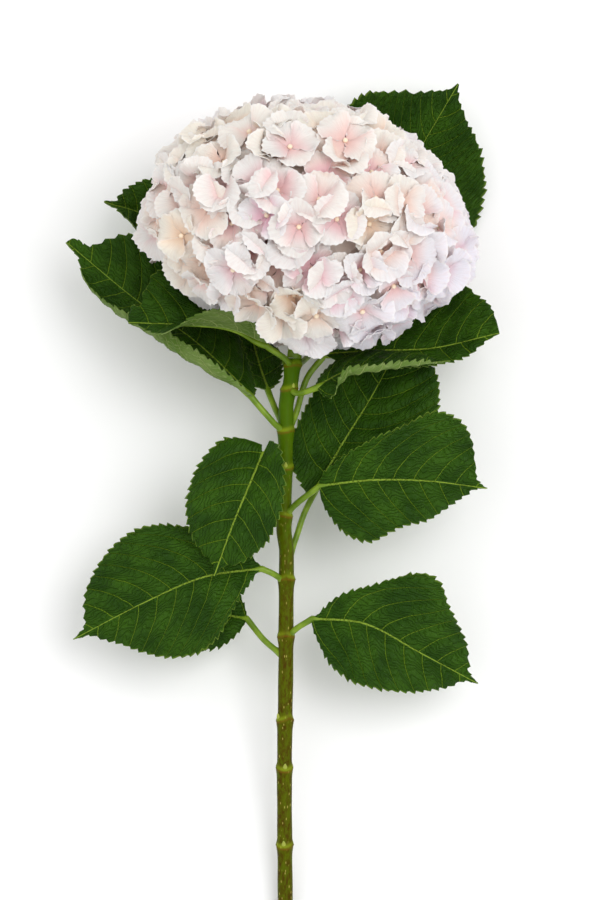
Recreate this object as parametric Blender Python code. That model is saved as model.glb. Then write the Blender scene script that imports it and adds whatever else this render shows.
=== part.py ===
"""Cut hydrangea laid down on a table: one mophead bloom, its stem and thirteen leaves.

The plant is laid out along its own axes, in millimetres: x across, y up the stem from the cut
end, z out of its front. An empty then tips it onto its back, so that the cut end of the stem and
a pressed flat under the bloom rest on the table at world z = 0. The world origin is the middle of
that flat, +Y runs along the stem towards the bloom and +Z points up.
"""

import math
import random

import bmesh
import bpy
from mathutils import Matrix, Vector
from mathutils.bvhtree import BVHTree

MM = 0.001
SEED = 11

# Stem: the height of each node ring, and how far the axis wanders sideways at a few heights.
STEM_TOP = 345.5
STEM_RADIUS = 4.5
RING_SWELL = 0.9
RING_HEIGHTS = (60.8, 105.9, 135.1, 183.7, 217.0, 253.9, 282.0, 303.6, 328.2, 342.0)
STEM_BENDS = ((0.0, 0.0), (99.0, -0.6), (181.0, 0.3), (232.0, 0.6), (246.0, -0.9), (316.0, 0.3),
              (337.0, 3.6), (STEM_TOP, 5.2))
STEM_SIDES = 10
BUDS = ((60.8, 250), (105.9, 275), (135.1, 180), (135.1, 5), (282.0, 265), (282.0, 170),
        (335.0, 330))
BUD_LENGTH = 5.5

# Bloom: an ellipsoid of florets round a smaller core, with a few dents and bulges in its outline.
BLOOM_CENTRE = Vector((13.2, 423.5, 0.0))
BLOOM_WIDE = 100.0
BLOOM_TALL = 77.0
BLOOM_FRONT = 90.0
BLOOM_BACK = 89.0
OUTLINE_DENTS = (((-0.57, -0.80, 0.0), -0.17, 30), ((1.0, 0.15, 0.0), -0.05, 25),
                 ((0.90, -0.42, 0.0), 0.04, 16), ((-0.78, 0.62, 0.0), -0.01, 22))
CORE_SHARE = 0.87
FLORETS = 77
FLORET_RADIUS = 21.0
SEPALS = 4
SEPAL_OUTLINE = ((-0.5, 0.50, 0.25), (-0.27, 0.90, 0.8), (0.0, 1.0, 1.0), (0.27, 0.92, 0.7))
SEPAL_DISH = 2.6
RUFFLE = 1.5
STALK_GAP_DEGREES = 11
BRANCH_RADIUS = 1.5

# Leaves.
BLADE_THICK = 0.8
BLADE_ROWS = 11
TOOTH = 1.7
PETIOLE_RADIUS = 2.1
PETIOLE_SIDES_LEVEL = 1
RIB_SHARE = 0.3
BEND_MIDDLE = 0.35
ROLL_START = 0.45
CURL_STEPS = 10

# Lying down.
LIE_ANGLE = math.radians(11.3)
FOOT_SINK = 0.15
REST_SPOT = (-8.0, 410.0)
TABLE_SKIN = 0.35
GAP = 0.3
LEAF_CLEARANCE = 2.4
CORE_CLEARANCE = 6.0

# Colour and roughness: mottled green stem, blush white petals, dark green leaves.
FINISHES = {"stem": ((0.10, 0.19, 0.03), 0.5), "bloom": ((0.90, 0.72, 0.70), 0.6)}
LEAF_FINISH = ((0.02, 0.10, 0.02), 0.45)

# Each leaf: its stalk from the stem's axis to the blade, its midrib from there to the tip, which
# way its upper face looks at the base and at the tip, and its two halves, named as seen from
# above with the tip away. A half has seven half widths, closer together near the ends of the
# midrib, its lift in degrees at the base, the middle and the tip, and how far its margin rolls
# over at those places. Last, the height and number of its waves.
LEAVES = {
    "leaf_low_left": dict(
        stalk=((-0.5, 215.0, 0.0), (-7.0, 219.5, 6.0), (-13.7, 222.9, 9.0)),
        rib=((-13.7, 222.9, 9.0), (-46.0, 214.5, 12.0), (-82.0, 196.0, 9.0), (-122.0, 183.0, 2.0)),
        facing=((0.0, 0.25, 1.0), (-0.15, 0.1, 1.0)),
        left=((3, 16, 30, 37, 26, 13, 2), (8, 6, 4), (-20, -25, -10)),
        right=((6, 23, 32, 46, 44, 31, 4), (6, 8, 8), (-10, -15, -10)), wave=(1.4, 2.5)),
    "leaf_low_left_back": dict(
        stalk=((-0.5, 171.0, 0.0), (-12.0, 180.0, -6.0), (-23.0, 193.0, -9.0)),
        rib=((-23.0, 193.0, -9.0), (-47.0, 197.0, -13.0), (-70.5, 200.5, -19.0),
             (-97.0, 205.0, -27.0)),
        facing=((0.1, 0.0, 1.0), (0.0, 0.1, 1.0)),
        left=((8, 18, 23, 24, 21, 14, 3), (6, 6, 6), (0, 0, 0)),
        right=((8, 18, 24, 26, 22, 14, 3), (8, 8, 8), (0, 0, 0)), wave=(1.2, 2.5)),
    "leaf_low_right": dict(
        stalk=((0.5, 182.0, 0.0), (7.0, 188.0, 5.0), (15.5, 193.6, 8.0)),
        rib=((15.5, 193.6, 8.0), (47.0, 190.5, 14.0), (79.0, 173.5, 13.0), (110.9, 156.2, 3.0)),
        facing=((0.0, 0.15, 1.0), (0.1, 0.1, 1.0)),
        left=((3, 13, 23, 42, 31, 18, 3), (8, 10, 10), (-20, -15, -15)),
        right=((11, 28, 34, 33, 24, 12, 2), (6, 5, 4), (-25, -20, -10)), wave=(2.0, 2.0)),
    "leaf_mid_left": dict(
        stalk=((-0.5, 253.0, 0.0), (-8.0, 264.0, 6.0), (-13.0, 279.0, 9.0), (-13.2, 290.0, 13.0)),
        rib=((-13.2, 290.0, 13.0), (-21.4, 270.3, 23.0), (-30.7, 248.0, 26.0), (-40.7, 220.5, 19.0)),
        facing=((0.0, 0.55, 1.0), (-0.1, -0.15, 1.0)),
        left=((8, 16, 22, 24, 22, 14, 3), (30, 14, 0), (0, -20, -10)),
        right=((22, 31, 34, 33, 28, 18, 3), (12, 8, 0), (-10, -20, -10)), wave=(1.2, 2.0)),
    "leaf_mid_right": dict(
        stalk=((-0.3, 253.5, 0.0), (7.0, 261.0, 6.0), (19.6, 270.9, 9.0)),
        rib=((19.6, 270.9, 9.0), (50.6, 274.4, 14.0), (83.4, 273.8, 13.0), (116.1, 269.7, 5.0)),
        facing=((0.0, 0.1, 1.0), (0.1, 0.0, 1.0)),
        left=((7, 14, 22, 31, 41, 31, 4), (4, 6, 8), (-10, -14, -14)),
        right=((16, 31, 36, 28, 22, 9, 1), (8, 6, 6), (-20, -18, -10)), wave=(1.4, 2.5)),
    "leaf_mid_right_back": dict(
        stalk=((0.5, 224.5, 0.0), (6.0, 240.0, -5.0), (11.5, 256.0, -8.0), (19.6, 272.0, -10.0)),
        rib=((19.6, 272.0, -10.0), (34.8, 297.8, -17.0), (51.8, 325.3, -27.0), (72.8, 365.0, -44.0)),
        facing=((-0.1, 0.1, 1.0), (0.0, 0.3, 1.0)),
        left=((8, 26, 29, 30, 26, 14, 3), (10, 8, 6), (-12, -12, 0)),
        right=((8, 28, 38, 42, 40, 29, 7), (8, 6, 6), (-10, -12, -10)), wave=(1.2, 2.5)),
    "leaf_collar_right": dict(
        stalk=((1.8, 328.0, 0.0), (8.0, 325.0, 8.0), (17.8, 329.4, 15.0)),
        rib=((17.8, 329.4, 15.0), (38.0, 338.5, 15.0), (65.0, 341.0, 11.0), (94.0, 344.0, 3.0)),
        facing=((0.0, 1.0, 0.35), (0.0, 0.95, 0.4)),
        left=((7, 17, 24, 26, 22, 14, 3), (0, 0, 4), (0, 0, 0)),
        right=((10, 18, 24, 25, 20, 13, 3), (-38, 0, 8), (0, 125, 110)), wave=(1.0, 2.0)),
    "leaf_collar_right_back": dict(
        stalk=((0.8, 303.0, 0.0), (6.0, 313.0, -6.0), (12.5, 334.0, -10.0), (23.0, 348.5, -12.0)),
        rib=((23.0, 348.5, -12.0), (53.0, 350.5, -20.0), (87.0, 352.0, -24.0), (122.0, 359.8, -17.0)),
        facing=((0.0, 0.8, 0.7), (-0.1, 0.4, 0.93)),
        left=((12, 29, 41, 46, 47, 41, 14), (0, 0, 4), (0, 0, 0)),
        right=((5, 11, 13, 13, 13, 10, 2), (0, 4, 8), (0, 0, 0)), wave=(1.4, 2.0)),
    "leaf_top_right": dict(
        stalk=((4.5, 341.0, 0.0), (10.0, 344.0, -24.0), (16.0, 351.0, -50.0), (24.9, 366.8, -71.0)),
        rib=((24.9, 366.8, -71.0), (47.0, 415.0, -84.5), (74.0, 461.6, -84.0), (100.3, 506.0, -70.0)),
        facing=((0.0, 0.2, 1.0), (0.15, -0.2, 1.0)),
        left=((10, 26, 38, 42, 43, 36, 4), (0, 4, 4), (0, 0, 0)),
        right=((10, 28, 42, 50, 47, 29, 4), (0, 4, 6), (0, 0, 0)), wave=(1.0, 2.5)),
    "leaf_top_left": dict(
        stalk=((-0.3, 302.0, 0.0), (-8.0, 309.0, 6.0), (-19.0, 323.5, 9.0)),
        rib=((-19.0, 323.5, 9.0), (-53.0, 355.7, -9.0), (-88.6, 380.8, -25.0),
             (-126.0, 411.8, -34.0)),
        facing=((0.0, 0.97, 0.25), (-0.2, 0.5, 0.85)),
        left=((8, 20, 30, 32, 30, 20, 3), (0, 0, 4), (130, 135, 60)),
        right=((9, 20, 32, 40, 37, 27, 5), (-4, 0, 6), (0, 0, 0)), wave=(1.2, 2.0)),
    "leaf_top_left_back": dict(
        stalk=((1.0, 327.0, 0.0), (3.0, 336.0, -30.0), (-8.0, 355.0, -63.0)),
        rib=((-8.0, 355.0, -63.0), (-47.0, 394.0, -72.0), (-79.3, 428.8, -62.0),
             (-106.0, 438.8, -44.0)),
        facing=((-0.1, 0.2, 1.0), (-0.3, 0.35, 1.0)),
        left=((7, 18, 26, 28, 24, 15, 3), (4, 8, 20), (0, 0, 40)),
        right=((7, 18, 27, 30, 26, 13, 3), (0, 4, 8), (0, 0, 0)), wave=(1.0, 2.0)),
    "leaf_under_left": dict(
        stalk=((3.6, 341.0, 0.0), (0.0, 345.0, 8.0), (-10.2, 353.5, 12.0)),
        rib=((-10.2, 353.5, 12.0), (-34.0, 363.0, 15.0), (-63.0, 365.0, 12.0), (-89.8, 366.2, 7.0)),
        facing=((0.0, 0.96, 0.28), (-0.2, 0.3, 0.93)),
        left=((6, 14, 20, 21, 17, 8, 2), (45, 58, 30), (10, 20, 0)),
        right=((8, 18, 26, 30, 34, 32, 18), (0, 0, 4), (0, 0, 0)), wave=(1.0, 2.0)),
    "leaf_collar_left": dict(
        stalk=((-0.6, 305.0, 0.0), (-6.0, 316.0, -8.0), (-10.2, 327.6, -14.0)),
        rib=((-10.2, 327.6, -14.0), (-15.0, 341.0, -30.0), (-19.0, 355.0, -44.0),
             (-23.0, 369.0, -56.0)),
        facing=((0.1, 0.6, 0.8), (0.1, 0.7, 0.7)),
        left=((6, 14, 18, 19, 16, 10, 2), (4, 4, 4), (0, 0, 0)),
        right=((5, 10, 13, 13, 11, 7, 2), (6, 6, 6), (0, 0, 0)), wave=(0.8, 2.0)),
}


def smooth_step(x):
    """An easing from 0 to 1."""
    x = min(max(x, 0.0), 1.0)
    return x * x * (3.0 - 2.0 * x)


def along(points, t):
    """The point at t, 0 to 1, on a smooth curve through evenly spaced guide points."""
    guides = [Vector(point) for point in points]
    guides = [2 * guides[0] - guides[1]] + guides + [2 * guides[-1] - guides[-2]]
    spans = len(guides) - 3
    span = min(int(t * spans), spans - 1)
    u = t * spans - span
    a, b, c, d = guides[span:span + 4]
    return 0.5 * (2 * b + (c - a) * u + (2 * a - 5 * b + 4 * c - d) * u * u
                  + (3 * b - a - 3 * c + d) * u * u * u)


def table_height(point):
    """How far a point of the plant is above the table once it lies down."""
    return FOOT_HEIGHT + point.y * math.sin(LIE_ANGLE) + point.z * math.cos(LIE_ANGLE)


def keep_above_table(point, least):
    """The point, lifted straight up off the table where it would be lower than least."""
    lack = max(0.0, least - table_height(point))
    return point + TABLE_UP * lack


FOOT_HEIGHT = STEM_RADIUS * math.cos(LIE_ANGLE) - FOOT_SINK
TABLE_UP = Vector((0.0, math.sin(LIE_ANGLE), math.cos(LIE_ANGLE)))
REST_DEPTH = (TABLE_SKIN - FOOT_HEIGHT - REST_SPOT[1] * math.sin(LIE_ANGLE)) / math.cos(LIE_ANGLE)
REST_POINT = Vector((REST_SPOT[0], REST_SPOT[1], REST_DEPTH))


def material(name, colour, roughness):
    """A plain Principled material."""
    made = bpy.data.materials.new(name)
    made.use_nodes = True
    shader = made.node_tree.nodes["Principled BSDF"]
    shader.inputs["Base Color"].default_value = (*colour, 1.0)
    shader.inputs["Roughness"].default_value = roughness
    shader.inputs["Metallic"].default_value = 0.0
    return made


def add_object(name, mesh):
    """A new object in the scene."""
    made = bpy.data.objects.new(name, mesh)
    bpy.context.scene.collection.objects.link(made)
    return made


def sheet_object(name, corners, faces, thickness):
    """A closed plate: a sheet of triangles, thickened alike on both faces."""
    mesh = bpy.data.meshes.new(name)
    mesh.from_pydata([corner * MM for corner in corners], [], faces)
    made = add_object(name, mesh)
    plate = made.modifiers.new("Thickness", "SOLIDIFY")
    plate.thickness = thickness * MM
    plate.offset = 0.0
    return made


def tube_object(name, points, radii, sides_level):
    """A closed tube through the points, with its own radius at each."""
    curve = bpy.data.curves.new(name, "CURVE")
    curve.dimensions = "3D"
    curve.bevel_depth = MM
    curve.bevel_resolution = sides_level
    curve.use_fill_caps = True
    spline = curve.splines.new("POLY")
    spline.points.add(len(points) - 1)
    for knot, point, radius in zip(spline.points, points, radii):
        knot.co = (*(point * MM), 1.0)
        knot.radius = radius
    guide = add_object(name + "_guide", curve)
    bpy.context.view_layer.update()
    mesh = bpy.data.meshes.new_from_object(guide.evaluated_get(bpy.context.evaluated_depsgraph_get()))
    bpy.data.objects.remove(guide)
    weld = bmesh.new()
    weld.from_mesh(mesh)
    bmesh.ops.remove_doubles(weld, verts=weld.verts, dist=0.00001)
    bmesh.ops.recalc_face_normals(weld, faces=weld.faces)
    weld.to_mesh(mesh)
    weld.free()
    return add_object(name, mesh)


def settle(body):
    """Make what the modifiers show the object's own mesh."""
    bpy.context.view_layer.update()
    shown = body.evaluated_get(bpy.context.evaluated_depsgraph_get())
    mesh = bpy.data.meshes.new_from_object(shown)
    body.modifiers.clear()
    body.data = mesh


def combine(body, others, operation, solver="EXACT"):
    """One Boolean with all the others, applied, and the others cleared away."""
    group = bpy.data.collections.new(body.name + "_others")
    bpy.context.scene.collection.children.link(group)
    for other in others:
        bpy.context.scene.collection.objects.unlink(other)
        group.objects.link(other)
    change = body.modifiers.new(operation.title(), "BOOLEAN")
    change.operation = operation
    change.operand_type = "COLLECTION"
    change.collection = group
    change.solver = solver
    settle(body)
    for other in others:
        bpy.data.objects.remove(other)
    bpy.data.collections.remove(group)


# ---------------------------------------------------------------- stem

def stem_axis(height):
    """The middle of the stem at a height."""
    for (low, low_x), (high, high_x) in zip(STEM_BENDS, STEM_BENDS[1:]):
        if height <= high:
            share = smooth_step((height - low) / (high - low))
            return Vector((low_x + (high_x - low_x) * share, height, 0.0))
    return Vector((STEM_BENDS[-1][1], height, 0.0))


def stem_tube(name, grow):
    """The stem's tube with a swollen ring at each node, its radius grown by grow."""
    heights = [0.0]
    radii = [STEM_RADIUS + grow]
    for ring in RING_HEIGHTS:
        for offset, swell in ((-6.0, 0.1), (-1.8, 0.8), (0.3, 1.0), (1.6, 0.3)):
            if ring + offset < STEM_TOP - 1.5:
                heights.append(ring + offset)
                radii.append(STEM_RADIUS + swell * RING_SWELL + grow)
    heights.append(STEM_TOP + grow)
    radii.append(STEM_RADIUS + grow)
    return tube_object(name, [stem_axis(height) for height in heights], radii, STEM_SIDES // 2 - 2)


def bud_object(height, degrees):
    """A pointed bud that sits on a node ring and leans up the stem."""
    out = Vector((math.cos(math.radians(degrees)), 0.0, -math.sin(math.radians(degrees))))
    root = stem_axis(height) + out * (STEM_RADIUS - 1.2)
    tip = root + out * 3.4 + Vector((0.0, BUD_LENGTH, 0.0))
    points = [root, root.lerp(tip, 0.45) + out * 0.5, tip]
    return tube_object("bud", points, (1.7, 1.6, 0.35), 0)


def make_stem():
    """The stem with its rings and buds."""
    stem = stem_tube("stem", 0.0)
    combine(stem, [bud_object(height, degrees) for height, degrees in BUDS], "UNION")
    return stem


# ---------------------------------------------------------------- leaves

def leaf_frame(leaf, t):
    """The midrib point, the direction across it to the left and the upper face's direction."""
    point = along(leaf["rib"], t)
    ahead = along(leaf["rib"], min(t + 0.02, 1.0))
    behind = along(leaf["rib"], max(t - 0.02, 0.0))
    forward = (ahead - behind).normalized()
    base_way, tip_way = leaf["facing"]
    facing = Vector(base_way).normalized().lerp(Vector(tip_way).normalized(), smooth_step(t))
    left = facing.cross(forward).normalized()
    return point, left, forward.cross(left)


def half_width(half, t):
    """Half the blade's width at t, eased through the half's widths and rounded at both ends."""
    widths = [0.0, *half[0], 0.0]
    place = math.acos(1.0 - 2.0 * t) / math.pi * (len(widths) - 1)
    span = min(int(place), len(widths) - 2)
    u = place - span
    before = widths[span - 1] if span else -widths[1]
    after = widths[span + 2] if span + 2 < len(widths) else -widths[-2]
    start, end = widths[span], widths[span + 1]
    bend = (2 * before - 5 * start + 4 * end - after) * u * u
    bend += (3 * start - before - 3 * end + after) * u * u * u
    return max(0.0, start + 0.5 * ((end - before) * u + bend))


def between(values, t):
    """A value that eases from its base figure to its middle and tip figures."""
    base, middle, tip = values
    if t < BEND_MIDDLE:
        return base + (middle - base) * smooth_step(t / BEND_MIDDLE)
    return middle + (tip - middle) * smooth_step((t - BEND_MIDDLE) / (1.0 - BEND_MIDDLE))


def leaf_point(leaf, t, side, share):
    """A point of the blade: t along the midrib and a share of the way out to one margin."""
    point, left, up = leaf_frame(leaf, t)
    half = leaf["left"] if side > 0 else leaf["right"]
    width = half_width(half, t)
    lift = math.radians(between(half[1], t))
    roll = math.radians(between(half[2], t))
    across = rise = 0.0
    for step in range(CURL_STEPS):
        middle = share * (step + 0.5) / CURL_STEPS
        angle = lift + roll * smooth_step((middle - ROLL_START) / (1.0 - ROLL_START))
        across += math.cos(angle) * width * share / CURL_STEPS
        rise += math.sin(angle) * width * share / CURL_STEPS
    wave_height, waves = leaf["wave"]
    rise += wave_height * share * share * math.sin(math.tau * waves * t + side) * math.sin(math.pi * t)
    return keep_above_table(point + left * side * across + up * rise, BLADE_THICK + GAP)


def row_place(row):
    """Where a row of the blade crosses the midrib: rows lie closer together near both ends."""
    even = row / BLADE_ROWS
    return 0.5 * even + 0.25 * (1.0 - math.cos(math.pi * even))


def make_blade(name, leaf):
    """The blade: a grid of rows across the midrib, with a tooth between rows at each margin."""
    rolled = max(abs(turn) for half in (leaf["left"], leaf["right"]) for turn in half[2]) > 60
    columns = 3 if rolled else 2
    corners = [leaf_point(leaf, 0.0, 1, 0.0)]
    rows = []
    for row in range(1, BLADE_ROWS):
        line = []
        for column in range(-columns, columns + 1):
            line.append(len(corners))
            side = 1 if column >= 0 else -1
            corners.append(leaf_point(leaf, row_place(row), side, abs(column) / columns))
        rows.append(line)
    tip = len(corners)
    corners.append(leaf_point(leaf, 1.0, 1, 0.0))
    faces = []
    for column in range(2 * columns):
        faces.append((0, rows[0][column], rows[0][column + 1]))
        faces.append((tip, rows[-1][column + 1], rows[-1][column]))
    for near, far in zip(rows, rows[1:]):
        for column in range(2 * columns):
            faces.append((near[column], far[column], far[column + 1]))
            faces.append((near[column], far[column + 1], near[column + 1]))
    for row, (near, far) in enumerate(zip(rows, rows[1:]), start=1):
        t = row_place(row + 0.75)
        for side in (-1, 1):
            half = leaf["left"] if side > 0 else leaf["right"]
            reach = 1.0 + TOOTH / max(half_width(half, t), 4.0 * TOOTH)
            tooth = len(corners)
            corners.append(leaf_point(leaf, t, side, reach))
            edge = (near[-1], far[-1]) if side > 0 else (far[0], near[0])
            faces.append((edge[0], edge[1], tooth))
    return sheet_object(name, corners, faces, BLADE_THICK)


def make_petiole(leaf):
    """The leaf's stalk, which runs on under the blade as the start of its midrib."""
    points = [along(leaf["stalk"], step / 6) for step in range(7)]
    radii = [PETIOLE_RADIUS * (1.45 - 0.45 * smooth_step(step / 2)) for step in range(7)]
    for step in range(1, 4):
        t = RIB_SHARE * step / 3
        point, _, up = leaf_frame(leaf, t)
        points.append(keep_above_table(point - up * 0.7, BLADE_THICK))
        radii.append(PETIOLE_RADIUS * (1.0 - 0.22 * step))
    return tube_object("petiole", points, radii, PETIOLE_SIDES_LEVEL)


def make_leaf(name, leaf):
    """A leaf: its blade and stalk grown together, seated against the stem."""
    blade = make_blade(name, leaf)
    combine(blade, [make_petiole(leaf)], "UNION")
    combine(blade, [stem_tube("stem_seat", GAP)], "DIFFERENCE")
    return blade


# ---------------------------------------------------------------- bloom

def bloom_point(way, share):
    """A point of the bloom in a direction, at a share of the way out to its outline."""
    reach = 1.0
    for centre, change, spread in OUTLINE_DENTS:
        off = math.degrees(way.angle(Vector(centre)))
        reach += change * math.exp(-((off / spread) ** 2))
    depth = BLOOM_FRONT if way.z > 0 else BLOOM_BACK
    return BLOOM_CENTRE + Vector((way.x * BLOOM_WIDE, way.y * BLOOM_TALL, way.z * depth)) * reach * share


def bloom_normal(way):
    """The direction straight out of the bloom's outline."""
    depth = BLOOM_FRONT if way.z > 0 else BLOOM_BACK
    return Vector((way.x / BLOOM_WIDE, way.y / BLOOM_TALL, way.z / depth)).normalized()


def floret_ways():
    """Directions spread evenly round the bloom, apart from the gap where the stalk comes in."""
    golden = math.pi * (3.0 - math.sqrt(5.0))
    for index in range(FLORETS):
        height = 1.0 - 2.0 * (index + 0.5) / FLORETS
        ring = math.sqrt(1.0 - height * height)
        way = Vector((ring * math.cos(golden * index), height, ring * math.sin(golden * index)))
        if way.angle(Vector((0.0, -1.0, 0.0))) > math.radians(STALK_GAP_DEGREES):
            yield way


def floret_sheet(centre, out, spin, radius, dish, rng):
    """The corners and triangles of a floret: a fan of broad sepals round its middle."""
    turn = out.to_track_quat("Z", "Y")
    corners = [centre]
    for sepal in range(SEPALS):
        size = radius * rng.uniform(0.92, 1.06)
        rise = dish * rng.uniform(0.3, 1.3)
        for share, reach, lift in SEPAL_OUTLINE:
            angle = spin + math.tau * (sepal + share) / SEPALS
            height = rise * lift + (RUFFLE * rng.uniform(-1.0, 1.0) if dish and reach > 0.6 else 0.0)
            spot = Vector((size * reach * math.cos(angle), size * reach * math.sin(angle), height))
            corners.append(keep_above_table(centre + turn @ spot, TABLE_SKIN))
    count = len(corners) - 1
    faces = [(0, 1 + step, 1 + (step + 1) % count) for step in range(count)]
    return corners, faces


def clear_of(tree, corners, faces):
    """Whether a sheet keeps its distance from everything in the tree."""
    if tree.overlap(BVHTree.FromPolygons(corners, faces)):
        return False
    return all(tree.find_nearest(corner)[3] > LEAF_CLEARANCE for corner in corners)


def make_floret(way, spin, lean, neighbours, rng):
    """A floret and its branch, drawn in towards the core until it is clear of the leaves."""
    state = rng.getstate()
    for share in (0.95, 0.92, 0.89, 0.86, 0.82, 0.78, 0.74):
        rng.setstate(state)
        centre = keep_above_table(bloom_point(way, share), TABLE_SKIN)
        out = (bloom_normal(way) + lean).normalized()
        corners, faces = floret_sheet(centre, out, spin, FLORET_RADIUS, SEPAL_DISH, rng)
        if clear_of(neighbours, corners, faces):
            root = bloom_point(way, CORE_SHARE - 0.08)
            branch = tube_object("branch", [root, centre], (BRANCH_RADIUS, BRANCH_RADIUS * 0.6), 0)
            return [sheet_object("floret", corners, faces, BLADE_THICK), branch]
    return []


def make_core(neighbours):
    """The crowded heart of the bloom, hollowed where a leaf lies close, and its stalk."""
    shape = bmesh.new()
    bmesh.ops.create_icosphere(shape, subdivisions=3, radius=1.0)
    for corner in shape.verts:
        way = corner.co.normalized()
        share = CORE_SHARE
        while share > 0.5 and neighbours.find_nearest(bloom_point(way, share))[3] < CORE_CLEARANCE:
            share -= 0.03
        corner.co = bloom_point(way, share) * MM
    mesh = bpy.data.meshes.new("bloom")
    shape.to_mesh(mesh)
    shape.free()
    core = add_object("bloom", mesh)
    seat = stem_axis(STEM_TOP + GAP)
    top = BLOOM_CENTRE.lerp(seat, 0.5)
    radii = (STEM_RADIUS, STEM_RADIUS * 1.1, STEM_RADIUS)
    stalk = tube_object("stalk", [seat, seat.lerp(top, 0.4), top], radii, 2)
    return core, stalk


def make_bloom(neighbours):
    """The bloom: florets on short branches out of the core, with a flat where it rests."""
    rng = random.Random(SEED)
    core, stalk = make_core(neighbours)
    pieces = [stalk]
    rest_corners, rest_faces = floret_sheet(REST_POINT, -TABLE_UP, 0.4, FLORET_RADIUS, 0.0, rng)
    pieces.append(sheet_object("floret", rest_corners, rest_faces, BLADE_THICK))
    rest_root = REST_POINT.lerp(BLOOM_CENTRE, 0.42)
    pieces.append(tube_object("branch", [rest_root, REST_POINT], (BRANCH_RADIUS, BRANCH_RADIUS), 0))
    for way in floret_ways():
        lean = Vector((rng.uniform(-1, 1), rng.uniform(-1, 1), rng.uniform(-1, 1))) * 0.22
        pieces += make_floret(way, rng.uniform(0.0, math.tau), lean, neighbours, rng)
    combine(core, pieces, "UNION", "MANIFOLD")
    return core


# ---------------------------------------------------------------- laying down

def add_table_block():
    """A block below the table's face, to press things flat against it."""
    shape = bmesh.new()
    bmesh.ops.create_cube(shape, size=1.0)
    mesh = bpy.data.meshes.new("table_block")
    shape.to_mesh(mesh)
    shape.free()
    block = add_object("table_block", mesh)
    block.scale = (1.2, 1.2, 0.1)
    block.location = (0.0, 0.0, -0.05)
    bpy.context.view_layer.update()
    return block


def leaf_tree(bodies):
    """One search tree of the bodies' triangles, in the plant's millimetres."""
    corners = []
    faces = []
    for body in bodies:
        start = len(corners)
        corners += [corner.co / MM for corner in body.data.vertices]
        faces += [[start + corner for corner in face.vertices] for face in body.data.polygons]
    return BVHTree.FromPolygons(corners, faces)


def build():
    """Make every piece, lay the plant down and press its low spots flat."""
    for old in list(bpy.data.objects):
        bpy.data.objects.remove(old)
    lie_down = bpy.data.objects.new("lie_down", None)
    bpy.context.scene.collection.objects.link(lie_down)
    lie_down.rotation_euler.x = LIE_ANGLE
    rest_world = Matrix.Rotation(LIE_ANGLE, 3, "X") @ REST_POINT
    lie_down.location = (-rest_world.x * MM, -rest_world.y * MM, FOOT_HEIGHT * MM)
    stem = make_stem()
    leaves = [make_leaf(name, leaf) for name, leaf in LEAVES.items()]
    bloom = make_bloom(leaf_tree([stem, *leaves]))
    for body in (stem, bloom, *leaves):
        colour, roughness = FINISHES.get(body.name, LEAF_FINISH)
        body.parent = lie_down
        body.data.materials.clear()
        body.data.materials.append(material(body.name + "_surface", colour, roughness))
    for body in (stem, bloom):
        combine(body, [add_table_block()], "DIFFERENCE", "MANIFOLD")


build()
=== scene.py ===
# %% [markdown]
# # A cut hydrangea, lying on a pale table
#
# The frame holds the plain solids of one flower: a stem, thirteen leaves and a bloom. This lesson
# dresses them: every solid is replaced by a finer piece of the same form, with its veins, teeth,
# petals and colours, and the camera looks down on the flower as it lies on its back.

# %% Load the frame
import math
import random

import bpy
from mathutils import Matrix, Vector
from mathutils.bvhtree import BVHTree


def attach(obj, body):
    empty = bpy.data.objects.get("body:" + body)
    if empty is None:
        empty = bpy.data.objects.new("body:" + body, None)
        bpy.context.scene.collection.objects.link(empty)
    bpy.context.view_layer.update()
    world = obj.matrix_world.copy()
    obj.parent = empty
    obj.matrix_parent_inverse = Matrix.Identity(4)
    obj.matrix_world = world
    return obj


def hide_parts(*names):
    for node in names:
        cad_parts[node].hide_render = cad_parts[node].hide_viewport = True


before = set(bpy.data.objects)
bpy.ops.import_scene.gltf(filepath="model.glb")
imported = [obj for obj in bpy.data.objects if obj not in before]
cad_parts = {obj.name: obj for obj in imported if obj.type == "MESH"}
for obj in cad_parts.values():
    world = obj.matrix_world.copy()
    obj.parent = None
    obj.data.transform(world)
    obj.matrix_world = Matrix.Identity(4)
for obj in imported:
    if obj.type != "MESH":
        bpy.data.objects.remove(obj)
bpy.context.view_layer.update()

# %% [markdown]
# ## Where the flower lies
#
# A flower is easiest to think of standing up: x across, y up the stem from its cut end, z out of
# its front, all in millimetres. One matrix then lays it on its back, with the stem's cut end and
# the underside of the bloom on the table.

# %% Lay the plant down
MM = 0.001
LIE_ANGLE = math.radians(11.3)
STEM_RADIUS = 4.5
FOOT_HEIGHT = STEM_RADIUS * math.cos(LIE_ANGLE) - 0.15
TABLE_UP = Vector((0.0, math.sin(LIE_ANGLE), math.cos(LIE_ANGLE)))
rest_depth = (0.35 - FOOT_HEIGHT - 410.0 * math.sin(LIE_ANGLE)) / math.cos(LIE_ANGLE)
rest_spot = Matrix.Rotation(LIE_ANGLE, 4, "X") @ Vector((-8.0, 410.0, rest_depth))
LIE_DOWN = (Matrix.Translation(Vector((-rest_spot.x, -rest_spot.y, FOOT_HEIGHT)) * MM)
            @ Matrix.Rotation(LIE_ANGLE, 4, "X") @ Matrix.Scale(MM, 4))


def table_height(point):
    """How far a point of the plant is above the table, in millimetres."""
    return FOOT_HEIGHT + point.y * math.sin(LIE_ANGLE) + point.z * math.cos(LIE_ANGLE)


def keep_above_table(point, least):
    """The point, lifted straight up off the table where it would be lower than least."""
    return point + TABLE_UP * max(0.0, least - table_height(point))


def smooth_step(x):
    """An easing from 0 to 1."""
    x = min(max(x, 0.0), 1.0)
    return x * x * (3.0 - 2.0 * x)


print("the stem leans", round(math.degrees(LIE_ANGLE), 1), "degrees off the table")

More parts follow.
